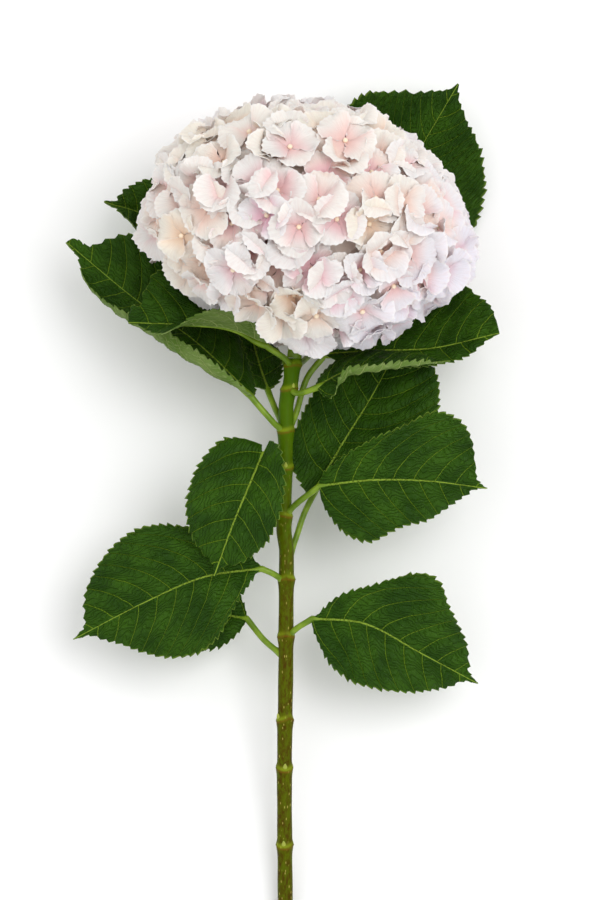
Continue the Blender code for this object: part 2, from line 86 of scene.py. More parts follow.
# %% [markdown]
# ## Small helpers
#
# Colours are written as the hex values seen on screen, and one function turns them to the linear
# values that Blender mixes. One more adds a node to a material, with its settings and its links.

# %% Colour and node helpers


def linear(code):
    """A linear colour from an sRGB hex code."""
    parts = [int(code[place:place + 2], 16) / 255.0 for place in (1, 3, 5)]
    return (*(part / 12.92 if part <= 0.04045 else ((part + 0.055) / 1.055) ** 2.4 for part in parts), 1.0)


def add(material, kind, settings, inputs, output=0):
    """One output of a new node, with its settings made and its inputs set or linked."""
    node = material.node_tree.nodes.new("ShaderNode" + kind)
    for name, value in settings.items():
        setattr(node, name, value)
    for key, value in inputs.items():
        if isinstance(value, bpy.types.NodeSocket):
            material.node_tree.links.new(value, node.inputs[key])
        else:
            node.inputs[key].default_value = value
    return node.outputs[output]


PLUS = {"operation": "ADD"}
TIMES = {"operation": "MULTIPLY"}
EASE = {"interpolation_type": "SMOOTHSTEP"}
COLOURS = {"data_type": "RGBA"}


def new_material(name):
    """A material with its Principled shader."""
    material = bpy.data.materials.new(name)
    material.use_nodes = True
    return material, material.node_tree.nodes["Principled BSDF"]


def deselect_all():
    """Leave object mode with nothing selected."""
    if bpy.context.object and bpy.context.object.mode != "OBJECT":
        bpy.ops.object.mode_set(mode="OBJECT")
    bpy.ops.object.select_all(action="DESELECT")


def make_active(piece):
    """Select one piece alone."""
    deselect_all()
    piece.select_set(True)
    bpy.context.view_layer.objects.active = piece


def apply_modifiers(piece):
    """Apply all of a piece's modifiers, first to last."""
    make_active(piece)
    for modifier in list(piece.modifiers):
        bpy.ops.object.modifier_apply(modifier=modifier.name)


def join(pieces, name):
    """Join pieces into the first, under a new name."""
    make_active(pieces[0])
    for piece in pieces:
        piece.select_set(True)
    bpy.ops.object.join()
    pieces[0].name = name
    pieces[0].data.name = name
    return pieces[0]


def settle_down(piece):
    """Lay a piece modelled on the standing plant, in millimetres, on the table."""
    piece.data.transform(LIE_DOWN)
    piece.data.update()


print("half way to white on screen is", round(linear("#808080")[0], 3), "in linear light")

# %% [markdown]
# ## What shapes a leaf
#
# Each leaf is drawn as a botanist would: the path of its stalk, four points along its midrib,
# which way its upper face looks, and seven half widths for each side. A side may lift like a
# wing, or roll over so far that its pale underside shows.
#
# "left" and "right" each hold the half widths, then the lift and the roll in degrees at the base,
# middle and tip. "wave" is the height and number of the blade's waves. Some leaves say more:
# "drip" is how far the tip is drawn out, "lobes" how far each side hangs back beside the stalk,
# "arch" how strongly the side veins curve, "teeth" how deep the teeth are, and "pinch" how much
# the blade narrows just before its tip.

# %% The thirteen leaves
LEAVES = {
    "leaf_low_left": dict(
        stalk=((-0.5, 215.0, 0.0), (-7.0, 219.5, 6.0), (-13.7, 222.9, 9.0)),
        rib=((-13.7, 222.9, 9.0), (-48.3, 217.6, 12.0), (-83.4, 202.4, 9.0), (-122.5, 182.0, 2.0)),
        facing=((0.0, 0.25, 1.0), (-0.15, 0.1, 1.0)),
        left=((3, 16, 34, 41, 33, 13, 2), (8, 6, 4), (-20, -25, -10)),
        right=((6, 22, 30, 40, 37, 23, 3), (6, 8, 8), (-10, -15, -10)), wave=(1.4, 2.5)),
    "leaf_low_left_back": dict(
        stalk=((-0.5, 171.0, 0.0), (-12.0, 180.0, -6.0), (-23.0, 193.0, -9.0)),
        rib=((-23.0, 193.0, -9.0), (-47.0, 197.0, -13.0), (-70.5, 200.5, -19.0),
             (-97.0, 205.0, -27.0)),
        facing=((0.1, 0.0, 1.0), (0.0, 0.1, 1.0)),
        left=((8, 18, 23, 24, 21, 14, 3), (6, 6, 6), (0, 0, 0)),
        right=((8, 18, 24, 26, 22, 14, 3), (8, 8, 8), (0, 0, 0)), wave=(1.2, 2.5)),
    "leaf_low_right": dict(
        stalk=((0.5, 182.0, 0.0), (7.0, 188.0, 5.0), (15.5, 193.6, 8.0)),
        rib=((15.5, 193.6, 8.0), (47.0, 190.5, 14.0), (79.0, 173.5, 13.0), (110.9, 156.2, 3.0)),
        facing=((0.0, 0.15, 1.0), (0.1, 0.1, 1.0)),
        left=((3, 13, 23, 42, 31, 18, 3), (8, 10, 10), (-20, -15, -15)),
        right=((11, 28, 34, 33, 24, 12, 2), (6, 5, 4), (-25, -20, -10)), wave=(2.0, 2.0)),
    "leaf_mid_left": dict(
        stalk=((-0.5, 253.0, 0.0), (-8.0, 264.0, 6.0), (-13.0, 279.0, 9.0), (-13.2, 290.0, 13.0)),
        rib=((-13.2, 290.0, 13.0), (-21.4, 270.3, 23.0), (-30.7, 248.0, 26.0), (-40.7, 220.5, 19.0)),
        facing=((0.0, 0.55, 1.0), (-0.1, -0.15, 1.0)),
        left=((8, 16, 22, 24, 22, 14, 3), (30, 14, 0), (0, -20, -10)),
        right=((20, 28, 32, 32, 28, 18, 3), (12, 8, 0), (-10, -20, -10)), wave=(1.2, 2.0),
        lobes=(9.0, 5.0)),
    "leaf_mid_right": dict(
        stalk=((-0.3, 253.5, 0.0), (7.0, 261.0, 6.0), (19.6, 270.9, 9.0)),
        rib=((19.6, 270.9, 9.0), (50.6, 274.4, 14.0), (83.4, 273.8, 13.0), (116.1, 269.7, 5.0)),
        facing=((0.0, 0.1, 1.0), (0.1, 0.0, 1.0)),
        left=((7, 14, 22, 31, 41, 31, 4), (4, 6, 8), (-10, -14, -14)),
        right=((16, 31, 36, 28, 22, 9, 1), (8, 6, 6), (-20, -18, -10)), wave=(1.4, 2.5)),
    "leaf_mid_right_back": dict(
        stalk=((0.5, 224.5, 0.0), (6.0, 240.0, -5.0), (11.5, 256.0, -8.0), (19.6, 272.0, -10.0)),
        rib=((19.6, 272.0, -10.0), (34.8, 297.8, -17.0), (51.8, 325.3, -27.0), (72.8, 365.0, -44.0)),
        facing=((-0.1, 0.1, 1.0), (0.0, 0.3, 1.0)),
        left=((8, 26, 29, 30, 26, 14, 3), (10, 8, 6), (-12, -12, 0)),
        right=((8, 28, 38, 42, 40, 29, 7), (8, 6, 6), (-10, -12, -10)), wave=(1.2, 2.5),
        lobes=(10.0, 0.0)),
    "leaf_collar_right": dict(
        stalk=((1.8, 328.0, 0.0), (8.0, 325.0, 8.0), (17.8, 329.4, 15.0)),
        rib=((17.8, 329.4, 15.0), (38.0, 338.5, 15.0), (65.0, 341.0, 11.0), (94.0, 344.0, 3.0)),
        facing=((0.0, 1.0, 0.35), (0.0, 0.95, 0.4)),
        left=((7, 17, 24, 26, 22, 14, 3), (0, 0, 4), (0, 0, 0)),
        right=((10, 16, 18, 15, 11, 7, 2), (-38, 0, 8), (0, 130, 110)), wave=(1.0, 2.0)),
    "leaf_collar_right_back": dict(
        stalk=((0.8, 303.0, 0.0), (6.0, 313.0, -6.0), (12.5, 334.0, -10.0), (23.0, 348.5, -12.0)),
        rib=((23.0, 348.5, -12.0), (53.0, 350.5, -20.0), (87.0, 352.0, -24.0), (122.0, 359.8, -17.0)),
        facing=((0.0, 0.8, 0.7), (-0.1, 0.4, 0.93)),
        left=((12, 29, 41, 46, 46, 40, 24), (0, 0, 4), (0, 0, 0)),
        right=((5, 11, 13, 13, 13, 10, 2), (0, 4, 8), (0, 0, 0)), wave=(1.4, 2.0), drip=4.0,
        pinch=0.1),
    "leaf_top_right": dict(
        stalk=((4.5, 341.0, 0.0), (10.0, 344.0, -24.0), (16.0, 351.0, -50.0), (24.9, 366.8, -71.0)),
        rib=((24.9, 366.8, -71.0), (47.0, 415.0, -84.5), (74.0, 461.6, -84.0), (100.3, 506.0, -70.0)),
        facing=((0.0, 0.2, 1.0), (0.15, -0.2, 1.0)),
        left=((10, 26, 38, 46, 52, 45, 6), (0, 4, 4), (0, 0, 0)),
        right=((10, 28, 42, 52, 49, 32, 5), (0, 4, 6), (0, 0, 0)), wave=(1.0, 2.5), drip=6.0,
        arch=2.0, teeth=1.5, pinch=0.0),
    "leaf_top_left": dict(
        stalk=((-0.3, 302.0, 0.0), (-8.0, 309.0, 6.0), (-19.0, 323.5, 9.0)),
        rib=((-19.0, 323.5, 9.0), (-53.0, 355.7, -9.0), (-88.6, 380.8, -25.0),
             (-126.0, 411.8, -34.0)),
        facing=((0.0, 0.97, 0.25), (-0.2, 0.5, 0.85)),
        left=((9, 24, 32, 28, 24, 17, 3), (0, 0, 4), (130, 140, 80)),
        right=((9, 20, 32, 40, 38, 30, 10), (-4, 0, 6), (0, 0, 0)), wave=(1.2, 2.0), drip=5.0),
    "leaf_top_left_back": dict(
        stalk=((1.0, 327.0, 0.0), (3.0, 336.0, -30.0), (-8.0, 355.0, -63.0)),
        rib=((-8.0, 355.0, -63.0), (-47.0, 394.0, -72.0), (-79.3, 428.8, -62.0),
             (-106.0, 438.8, -44.0)),
        facing=((-0.1, 0.2, 1.0), (-0.3, 0.35, 1.0)),
        left=((7, 18, 26, 28, 24, 15, 3), (4, 8, 20), (0, 0, 40)),
        right=((7, 18, 27, 30, 26, 13, 3), (0, 4, 8), (0, 0, 0)), wave=(1.0, 2.0)),
    "leaf_under_left": dict(
        stalk=((3.6, 341.0, 0.0), (0.0, 345.0, 8.0), (-10.2, 353.5, 12.0)),
        rib=((-10.2, 353.5, 12.0), (-34.0, 363.0, 15.0), (-63.0, 365.0, 12.0), (-89.8, 366.2, 7.0)),
        facing=((0.0, 0.96, 0.28), (-0.2, 0.3, 0.93)),
        left=((6, 14, 20, 21, 17, 8, 2), (45, 58, 30), (10, 20, 0)),
        right=((8, 18, 26, 30, 34, 32, 18), (0, 0, 4), (0, 0, 0)), wave=(1.0, 2.0)),
    "leaf_collar_left": dict(
        stalk=((-0.6, 305.0, 0.0), (-6.0, 316.0, -8.0), (-10.2, 327.6, -14.0)),
        rib=((-10.2, 327.6, -14.0), (-15.0, 341.0, -30.0), (-19.0, 355.0, -44.0),
             (-23.0, 369.0, -56.0)),
        facing=((0.1, 0.6, 0.8), (0.1, 0.7, 0.7)),
        left=((6, 14, 18, 19, 16, 10, 2), (4, 4, 4), (0, 0, 0)),
        right=((5, 10, 13, 13, 11, 7, 2), (6, 6, 6), (0, 0, 0)), wave=(0.8, 2.0)),
}
print(len(LEAVES), "leaves")

# %% [markdown]
# ## From numbers to a curved blade
#
# `leaf_point` gives any point of a blade: so far along the midrib, and such a share of the way out
# to a margin. It is the rule that the solids were made by, so a finer grid keeps their form.

# %% Points on a blade
CURL_STEPS = 10
BEND_MIDDLE = 0.35
ROLL_START = 0.45


def along(points, t):
    """The point at t, 0 to 1, on a smooth curve through evenly spaced guide points."""
    guides = [Vector(point) for point in points]
    guides = [2 * guides[0] - guides[1]] + guides + [2 * guides[-1] - guides[-2]]
    spans = len(guides) - 3
    span = min(int(t * spans), spans - 1)
    u = t * spans - span
    a, b, c, d = guides[span:span + 4]
    return 0.5 * (2 * b + (c - a) * u + (2 * a - 5 * b + 4 * c - d) * u * u
                  + (3 * b - a - 3 * c + d) * u * u * u)


def leaf_frame(leaf, t):
    """The midrib point, the direction across it to the left and the upper face's direction."""
    ahead, behind = along(leaf["rib"], min(t + 0.02, 1.0)), along(leaf["rib"], max(t - 0.02, 0.0))
    forward = (ahead - behind).normalized()
    base_way, tip_way = leaf["facing"]
    facing = Vector(base_way).normalized().lerp(Vector(tip_way).normalized(), smooth_step(t))
    left = facing.cross(forward).normalized()
    return along(leaf["rib"], t), left, forward.cross(left)


def half_width(half, t):
    """Half the blade's width at t, eased through the half's widths and rounded at both ends."""
    widths = [0.0, *half[0], 0.0]
    place = math.acos(1.0 - 2.0 * t) / math.pi * (len(widths) - 1)
    span = min(int(place), len(widths) - 2)
    u = place - span
    before = widths[span - 1] if span else -widths[1]
    after = widths[span + 2] if span + 2 < len(widths) else -widths[-2]
    start, end = widths[span], widths[span + 1]
    bend = (2 * before - 5 * start + 4 * end - after) * u * u
    bend += (3 * start - before - 3 * end + after) * u * u * u
    return max(0.0, start + 0.5 * ((end - before) * u + bend))


def between(values, t):
    """A value that eases from its base figure to its middle and tip figures."""
    base, middle, tip = values
    if t < BEND_MIDDLE:
        return base + (middle - base) * smooth_step(t / BEND_MIDDLE)
    return middle + (tip - middle) * smooth_step((t - BEND_MIDDLE) / (1.0 - BEND_MIDDLE))


def leaf_point(leaf, t, side, share):
    """A point of the blade: t along the midrib and a share of the way out to one margin."""
    point, left, up = leaf_frame(leaf, t)
    half = leaf["left"] if side > 0 else leaf["right"]
    width = half_width(half, t)
    lift = math.radians(between(half[1], t))
    roll = math.radians(between(half[2], t))
    across = rise = 0.0
    for step in range(CURL_STEPS):
        middle = share * (step + 0.5) / CURL_STEPS
        angle = lift + roll * smooth_step((middle - ROLL_START) / (1.0 - ROLL_START))
        across += math.cos(angle) * width * share / CURL_STEPS
        rise += math.sin(angle) * width * share / CURL_STEPS
    wave_height, waves = leaf["wave"]
    rise += wave_height * share * share * math.sin(math.tau * waves * t + side) * math.sin(math.pi * t)
    return point + left * side * across + up * rise


print("the lowest left leaf is", round(2 * half_width(LEAVES["leaf_low_left"]["right"], 0.5)), "mm wide")

# %% [markdown]
# ## Veins, quilting and teeth
#
# A hydrangea leaf has seven to nine pairs of side veins that arch forward to the margin. The tissue
# bulges up between them, and again between the fine cross veins, so the blade looks quilted. The
# margin has coarse teeth, about five millimetres apart, that lean towards the tip. The blade starts
# as a flat grid: its rows cross the midrib and its columns run along it. Every corner is then
# moved to its place on the curved blade. Hand tools could bend a grid, but not along thirteen
# measured midribs.
#
# Two UV maps keep the blade's own measure, so that the surface can draw its veins. "blade" holds
# the way along and across in tenths of a metre, and "veins" holds the number of the side vein and
# the way out along it.

# %% Leaf measures
BLADE_ROWS = 120
HALF_COLUMNS = 21
BLADE_THICK = 0.55
BLADE_CLEAR = 0.5
COLUMN_EASE = 0.92
UV_SCALE = 100.0
VEIN_STEP = 12.0
RUNG_STEP = 5.5
QUILT_HEIGHT = 1.5
VEIN_SLANT = 0.35
VEIN_ARCH = 0.019
TOOTH_STEP = 5.0
TOOTH_HEIGHT = 2.5
TOOTH_PEAK = 0.78
TOOTH_LEAN = 0.8
TEETH_BAND = 0.86
DRIP_TIP = 2.0
DRIP_START = 0.86
LOBE_END = 0.3
PINCH = 0.55
PINCH_PLACE = 0.945
PINCH_SPREAD = 0.035


def vein_number(ahead, out, arch):
    """Which side vein passes a point: a whole number on a vein, a half midway between two."""
    return (ahead - arch * (VEIN_SLANT * out + VEIN_ARCH * out * out)) / VEIN_STEP


def row_place(row):
    """Where a row crosses the midrib: rows lie closer together near both ends."""
    even = row / BLADE_ROWS
    return 0.5 * even + 0.25 * (1.0 - math.cos(math.pi * even))


def quilting(ahead, out, width, arch):
    """How far the tissue stands up: low on the veins, high between them."""
    number = vein_number(ahead, out, arch)
    main = abs(math.sin(math.pi * number)) ** 0.7
    cross = abs(math.sin(math.pi * (out / RUNG_STEP + 0.35 * math.sin(number * 5.0)))) ** 0.6
    near_rib = smooth_step(out / 4.0)
    near_edge = smooth_step((width - out) / 5.0)
    return QUILT_HEIGHT * near_rib * (0.25 + 0.75 * near_edge) * main * (0.62 + 0.38 * cross)


# %% Blades


def margin_lengths(leaf, side):
    """The distance along the margin from the base to each row."""
    lengths = [0.0]
    last = leaf_point(leaf, row_place(0), side, 1.0)
    for row in range(1, BLADE_ROWS + 1):
        here = leaf_point(leaf, row_place(row), side, 1.0)
        lengths.append(lengths[-1] + (here - last).length)
        last = here
    return lengths


def tooth_reach(length, whole):
    """How far the margin stands out: a slow rise and a sharp drop for each tooth."""
    place = (length / TOOTH_STEP) % 1.0
    rise = place / TOOTH_PEAK if place < TOOTH_PEAK else (1.0 - place) / (1.0 - TOOTH_PEAK)
    ends = smooth_step(length / 14.0) * smooth_step((whole - length) / 12.0)
    size = 0.85 + 0.25 * math.sin(1.7 * math.floor(length / TOOTH_STEP))
    return TOOTH_HEIGHT * size * (rise - 0.4) * ends


def corner_places(blade, leaf):
    """Each corner's row, column, side, share of the way out, place along the midrib and width."""
    columns = 2 * HALF_COLUMNS
    places = []
    for corner in blade.data.vertices:
        column = round((corner.co.x + 1.0) / 2.0 * columns) - HALF_COLUMNS
        row = round((corner.co.y + 1.0) / 2.0 * BLADE_ROWS)
        side = 1 if column <= 0 else -1
        share = (abs(column) / HALF_COLUMNS) ** COLUMN_EASE
        t = min(max(row_place(row), 0.0005), 0.9995)
        half = leaf["left"] if side > 0 else leaf["right"]
        share *= 1.0 - leaf.get("pinch", PINCH) * math.exp(-(((t - PINCH_PLACE) / PINCH_SPREAD) ** 2))
        places.append((row, column, side, share, t, half_width(half, t)))
    return places


def blade_directions(leaf, t, side, share):
    """The step on along the blade at a point, and the direction out of its upper face."""
    step_on = leaf_point(leaf, min(t + 0.01, 1.0), side, share)
    step_on -= leaf_point(leaf, max(t - 0.01, 0.0), side, share)
    step_out = leaf_point(leaf, t, side, share + 0.03)
    step_out -= leaf_point(leaf, t, side, max(share - 0.03, 0.0))
    facing = step_out.cross(step_on) * side * -1.0
    if facing.length < 1e-6:
        facing = leaf_frame(leaf, t)[2]
    return step_on, facing.normalized()


def shape_blade(blade, leaf, places, flat):
    """Move every corner to its place on the curved blade, with quilting, teeth, tip and lobes."""
    lengths = {side: margin_lengths(leaf, side) for side in (-1, 1)}
    arch = leaf.get("arch", 1.0)
    for corner, (row, column, side, share, t, width), (ahead, out) in zip(
            blade.data.vertices, places, flat):
        step_on, facing = blade_directions(leaf, t, side, share)
        point = leaf_point(leaf, t, side, share) + facing * quilting(ahead, out, width, arch)
        edge = abs(column) / HALF_COLUMNS
        if edge > TEETH_BAND and step_on.length > 1e-6:
            onward = step_on.normalized()
            outward = facing.cross(onward) * side
            bite = smooth_step((edge - TEETH_BAND) / (1.0 - TEETH_BAND)) * leaf.get("teeth", 1.0)
            reach = tooth_reach(lengths[side][row], lengths[side][-1]) * bite
            point += outward * reach + onward * max(reach, 0.0) * TOOTH_LEAN
        left, up = leaf_frame(leaf, t)[1:]
        forward = up.cross(left) * -1.0
        drawn = smooth_step((t - DRIP_START) / (1.0 - DRIP_START)) ** 2
        point += forward * leaf.get("drip", DRIP_TIP) * drawn
        lobe = leaf.get("lobes", (0.0, 0.0))[0 if side > 0 else 1]
        point -= forward * lobe * share ** 1.5 * (1.0 - smooth_step(t / LOBE_END))
        corner.co = keep_above_table(point, BLADE_CLEAR)


def map_blade(blade, places, flat, arch):
    """Give the blade its two UV maps, and the share of the way out to its margin."""
    blade.data.uv_layers.remove(blade.data.uv_layers[0])
    on_blade = blade.data.uv_layers.new(name="blade")
    on_veins = blade.data.uv_layers.new(name="veins")
    for face in blade.data.polygons:
        columns_here = [places[blade.data.loops[loop].vertex_index][1] for loop in face.loop_indices]
        side = 1 if min(columns_here) < 0 else -1
        shift = 0.25 if side > 0 else 0.0
        for loop in face.loop_indices:
            ahead, out = flat[blade.data.loops[loop].vertex_index]
            on_blade.data[loop].uv = (ahead / UV_SCALE, side * out / UV_SCALE + 0.5)
            on_veins.data[loop].uv = (vein_number(ahead, out, arch) + shift, out / UV_SCALE)
    margin = blade.data.attributes.new("margin", "FLOAT", "POINT")
    for number, place in enumerate(places):
        margin.data[number].value = abs(place[1]) / HALF_COLUMNS


def make_blade(name, leaf):
    """A flat grid shaped into the leaf's blade, as one open sheet with its maps."""
    deselect_all()
    bpy.ops.mesh.primitive_grid_add(x_subdivisions=2 * HALF_COLUMNS, y_subdivisions=BLADE_ROWS, size=2.0)
    blade = bpy.context.object
    blade.name = name
    rib_length = sum((along(leaf["rib"], (step + 1) / 40) - along(leaf["rib"], step / 40)).length
                     for step in range(40))
    places = corner_places(blade, leaf)
    flat = [(t * rib_length, share * width) for _, _, _, share, t, width in places]
    shape_blade(blade, leaf, places, flat)
    map_blade(blade, places, flat, leaf.get("arch", 1.0))
    return blade


print("a blade has", BLADE_ROWS * HALF_COLUMNS * 2, "faces on each side")

# %% [markdown]
# ## Stalks and midribs
#
# A stalk is a round cord that swells where it meets the stem. It runs on under the blade as the
# midrib, a ridge that thins out towards the tip. A curve with a round bevel makes both in one.

# %% Tubes
STALK_RADIUS = 1.8


def make_tube(name, points, radii, sides_level):
    """A closed tube through the points, with its own radius at each, made from a bevelled curve."""
    curve = bpy.data.curves.new(name, "CURVE")
    curve.dimensions = "3D"
    curve.bevel_depth = 1.0
    curve.bevel_resolution = sides_level
    curve.use_fill_caps = True
    spline = curve.splines.new("POLY")
    spline.points.add(len(points) - 1)
    for knot, point, radius in zip(spline.points, points, radii):
        knot.co = (*point, 1.0)
        knot.radius = radius
    guide = bpy.data.objects.new(name, curve)
    bpy.context.scene.collection.objects.link(guide)
    make_active(guide)
    bpy.ops.object.convert(target="MESH")
    tube = bpy.context.object
    bpy.ops.object.mode_set(mode="EDIT")
    bpy.ops.mesh.select_all(action="SELECT")
    bpy.ops.mesh.remove_doubles(threshold=0.001)
    bpy.ops.mesh.normals_make_consistent(inside=False)
    bpy.ops.object.mode_set(mode="OBJECT")
    return tube


def make_stalk(leaf):
    """The leaf's stalk, which runs on under the blade as its midrib."""
    points = []
    radii = []
    base_up = leaf_frame(leaf, 0.0)[2]
    for step in range(25):
        t = step / 24
        points.append(along(leaf["stalk"], t) - base_up * 1.3 * smooth_step((t - 0.5) / 0.5))
        swell = 0.55 * (1.0 - smooth_step(t / 0.3)) + 0.08 * smooth_step((t - 0.8) / 0.2)
        radii.append(STALK_RADIUS * (1.0 + swell))
    for step in range(1, 41):
        t = 0.93 * step / 40
        point, _, up = leaf_frame(leaf, t)
        radius = 0.9 * (1.0 - smooth_step(t / 0.25)) + 1.0 * (1.0 - t) + 0.1
        sink = radius * 0.65 + (radius * 0.35 + 0.15) * smooth_step(t / 0.1)
        points.append(keep_above_table(point - up * sink, radius + 0.1))
        radii.append(radius)
    return make_tube("stalk", points, radii, 4)


print("a stalk is", 2.0 * STALK_RADIUS, "mm thick")

# %% [markdown]
# ## Surfaces of the leaves
#
# The upper face is leathery: dark green with a slight blue, satin, with yellow-green veins that lie
# in grooves. The underside is a pale grey green with raised veins. Both are drawn from the two UV
# maps, so the pattern follows the blade wherever it bends.

# %% Leaf materials


def leaf_pattern(material):
    """Masks that both faces share: side veins, midrib, rungs, fine net, blotches and margin."""
    veins = add(material, "UVMap", {"uv_map": "veins"}, {})
    number = add(material, "SeparateXYZ", {}, {0: veins})
    out = add(material, "SeparateXYZ", {}, {0: veins}, 1)
    blade = add(material, "UVMap", {"uv_map": "blade"}, {})
    ahead = add(material, "SeparateXYZ", {}, {0: blade})
    # side veins wander a little, and fade out 0.6 mm to each side at the midrib, 0.4 at the margin
    wobble = add(material, "TexNoise", {}, {"Vector": blade, "Scale": 12.0})
    bent = add(material, "Math", {"operation": "MULTIPLY_ADD"}, {0: wobble, 1: 0.16, 2: number})
    bent = add(material, "Math", PLUS, {0: bent, 1: 0.42})
    beat = add(material, "Math", {"operation": "FRACT"}, {0: bent})
    beat = add(material, "Math", PLUS, {0: beat, 1: -0.5})
    beside = add(material, "Math", {"operation": "ABSOLUTE"}, {0: beat})
    thinned = add(material, "Math", {"operation": "MULTIPLY_ADD"}, {0: out, 1: 0.035, 2: beside})
    side = add(material, "MapRange", EASE, {0: thinned, 1: 0.010, 2: 0.050, 3: 1.0, 4: 0.0})
    # the midrib is 1.4 mm wide at the stalk and 0.4 mm at the tip
    rib_half = add(material, "Math", {"operation": "MULTIPLY_ADD"}, {0: ahead, 1: -0.0045, 2: 0.0070})
    rib_half = add(material, "Math", {"operation": "MAXIMUM"}, {0: rib_half, 1: 0.0022})
    rib_share = add(material, "Math", {"operation": "DIVIDE"}, {0: out, 1: rib_half})
    rib = add(material, "MapRange", EASE, {0: rib_share, 1: 0.65, 2: 1.2, 3: 1.0, 4: 0.0})
    # rungs 2.4 mm apart join the side veins in uneven arcs, with a net of 1.2 mm cells between them
    ladder = add(material, "Mapping", {}, {"Vector": veins, "Scale": (1.6, 14.0, 1.0)})
    shift = add(material, "TexNoise", {}, {"Vector": ladder, "Scale": 1.0, "Detail": 2.0})
    shift = add(material, "Math", TIMES, {0: shift, 1: 4.5})
    shift = add(material, "Math", {"operation": "MULTIPLY_ADD"}, {0: beside, 1: 1.6, 2: shift})
    rungs = add(material, "Math", {"operation": "MULTIPLY_ADD"}, {0: out, 1: 42.0, 2: shift})
    rungs = add(material, "Math", {"operation": "PINGPONG"}, {0: rungs, 1: 0.5})
    rung = add(material, "MapRange", EASE, {0: rungs, 1: 0.0, 2: 0.24, 3: 1.0, 4: 0.0})
    net = add(material, "TexVoronoi", {"feature": "DISTANCE_TO_EDGE"}, {"Vector": blade, "Scale": 85.0})
    fine = add(material, "MapRange", EASE, {0: net, 1: 0.0, 2: 0.2, 3: 1.0, 4: 0.0})
    noise = add(material, "TexNoise", {}, {"Vector": blade, "Scale": 5.0, "Detail": 4.0})
    blotch = add(material, "MapRange", EASE, {0: noise, 1: 0.3, 2: 0.7})
    edge = add(material, "Attribute", {"attribute_name": "margin"}, {}, 2)
    edge = add(material, "MapRange", EASE, {0: edge, 1: 0.965, 2: 0.995})
    return side, rib, rung, fine, blotch, edge


def upper_leaf():
    """Satin, leathery upper face of a leaf, quilted between sunken veins."""
    material, shader = new_material("hydrangea_leaf_upper_face")
    side, rib, rung, fine, blotch, edge = leaf_pattern(material)
    colour = add(material, "Mix", COLOURS, {0: blotch, 6: linear("#1E3D03"), 7: linear("#315409")}, 2)
    for mask, strength, tone in ((rung, 0.30, "#3E6218"), (edge, 0.6, "#7C9636"), (side, 0.85, "#6C8C22"),
                                 (rib, 0.9, "#86A034")):
        share = add(material, "Math", TIMES, {0: mask, 1: strength})
        colour = add(material, "Mix", COLOURS, {0: share, 6: colour, 7: linear(tone)}, 2)
    sunk = add(material, "Math", {"operation": "MULTIPLY_ADD"}, {0: rung, 1: 0.8, 2: side})
    sunk = add(material, "Math", {"operation": "MULTIPLY_ADD"}, {0: fine, 1: 0.15, 2: sunk})
    bump = add(material, "Bump", {"invert": True}, {"Height": sunk, "Strength": 1.0, "Distance": 0.0010})
    material.node_tree.links.new(colour, shader.inputs["Base Color"])
    material.node_tree.links.new(bump, shader.inputs["Normal"])
    shader.inputs["Roughness"].default_value = 0.42
    shader.inputs["Specular IOR Level"].default_value = 0.1
    return material


def under_leaf():
    """Pale, matt underside of a leaf with raised veins."""
    material, shader = new_material("hydrangea_leaf_underside")
    side, rib, rung, _, blotch, _ = leaf_pattern(material)
    colour = add(material, "Mix", COLOURS, {0: blotch, 6: linear("#4E6A22"), 7: linear("#6A8040")}, 2)
    for mask, strength, tone in ((rung, 0.5, "#84955A"), (side, 0.8, "#93A45E"), (rib, 0.9, "#93A45E")):
        share = add(material, "Math", TIMES, {0: mask, 1: strength})
        colour = add(material, "Mix", COLOURS, {0: share, 6: colour, 7: linear(tone)}, 2)
    raised = add(material, "Math", {"operation": "MULTIPLY_ADD"}, {0: rung, 1: 0.5, 2: side})
    bump = add(material, "Bump", {}, {"Height": raised, "Strength": 0.8, "Distance": 0.0007})
    material.node_tree.links.new(colour, shader.inputs["Base Color"])
    material.node_tree.links.new(bump, shader.inputs["Normal"])
    shader.inputs["Roughness"].default_value = 0.62
    shader.inputs["Specular IOR Level"].default_value = 0.15
    return material


def stalk_skin():
    """Smooth yellow-green skin of stalks, finely blotched between two greens."""
    material, shader = new_material("leaf_stalk_skin")
    where = add(material, "TexCoord", {}, {}, 3)
    noise = add(material, "TexNoise", {}, {"Vector": where, "Scale": 140.0, "Detail": 3.0})
    blotch = add(material, "MapRange", EASE, {0: noise, 1: 0.35, 2: 0.7})
    colour = add(material, "Mix", COLOURS, {0: blotch, 6: linear("#5C7A0C"), 7: linear("#7A9622")}, 2)
    material.node_tree.links.new(colour, shader.inputs["Base Color"])
    shader.inputs["Roughness"].default_value = 0.35
    shader.inputs["Specular IOR Level"].default_value = 0.3
    return material


UPPER_LEAF = upper_leaf()
UNDER_LEAF = under_leaf()
STALK_SKIN = stalk_skin()
print("leaf surfaces:", UPPER_LEAF.name, UNDER_LEAF.name, STALK_SKIN.name)

# %% Grow the leaves
leaf_sheets = []
for leaf_name, leaf in LEAVES.items():
    blade = make_blade(leaf_name, leaf)
    leaf_sheets.append(([corner.co.copy() for corner in blade.data.vertices],
                        [tuple(face.vertices) for face in blade.data.polygons]))
    for surface in (UPPER_LEAF, UNDER_LEAF, STALK_SKIN):
        blade.data.materials.append(surface)
    plate = blade.modifiers.new("Thickness", "SOLIDIFY")
    plate.thickness = BLADE_THICK
    plate.offset = -1.0
    plate.material_offset = 1
    plate.material_offset_rim = 1
    apply_modifiers(blade)
    stalk = make_stalk(leaf)
    stalk.data.materials.append(STALK_SKIN)
    piece = join([blade, stalk], leaf_name + "_dressed")
    settle_down(piece)
    make_active(piece)
    bpy.ops.object.shade_smooth_by_angle(angle=math.radians(60))
    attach(piece, "root")
    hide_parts(leaf_name)
print("leaves have", sum(len(corners) for corners, _ in leaf_sheets), "corners on their upper faces")

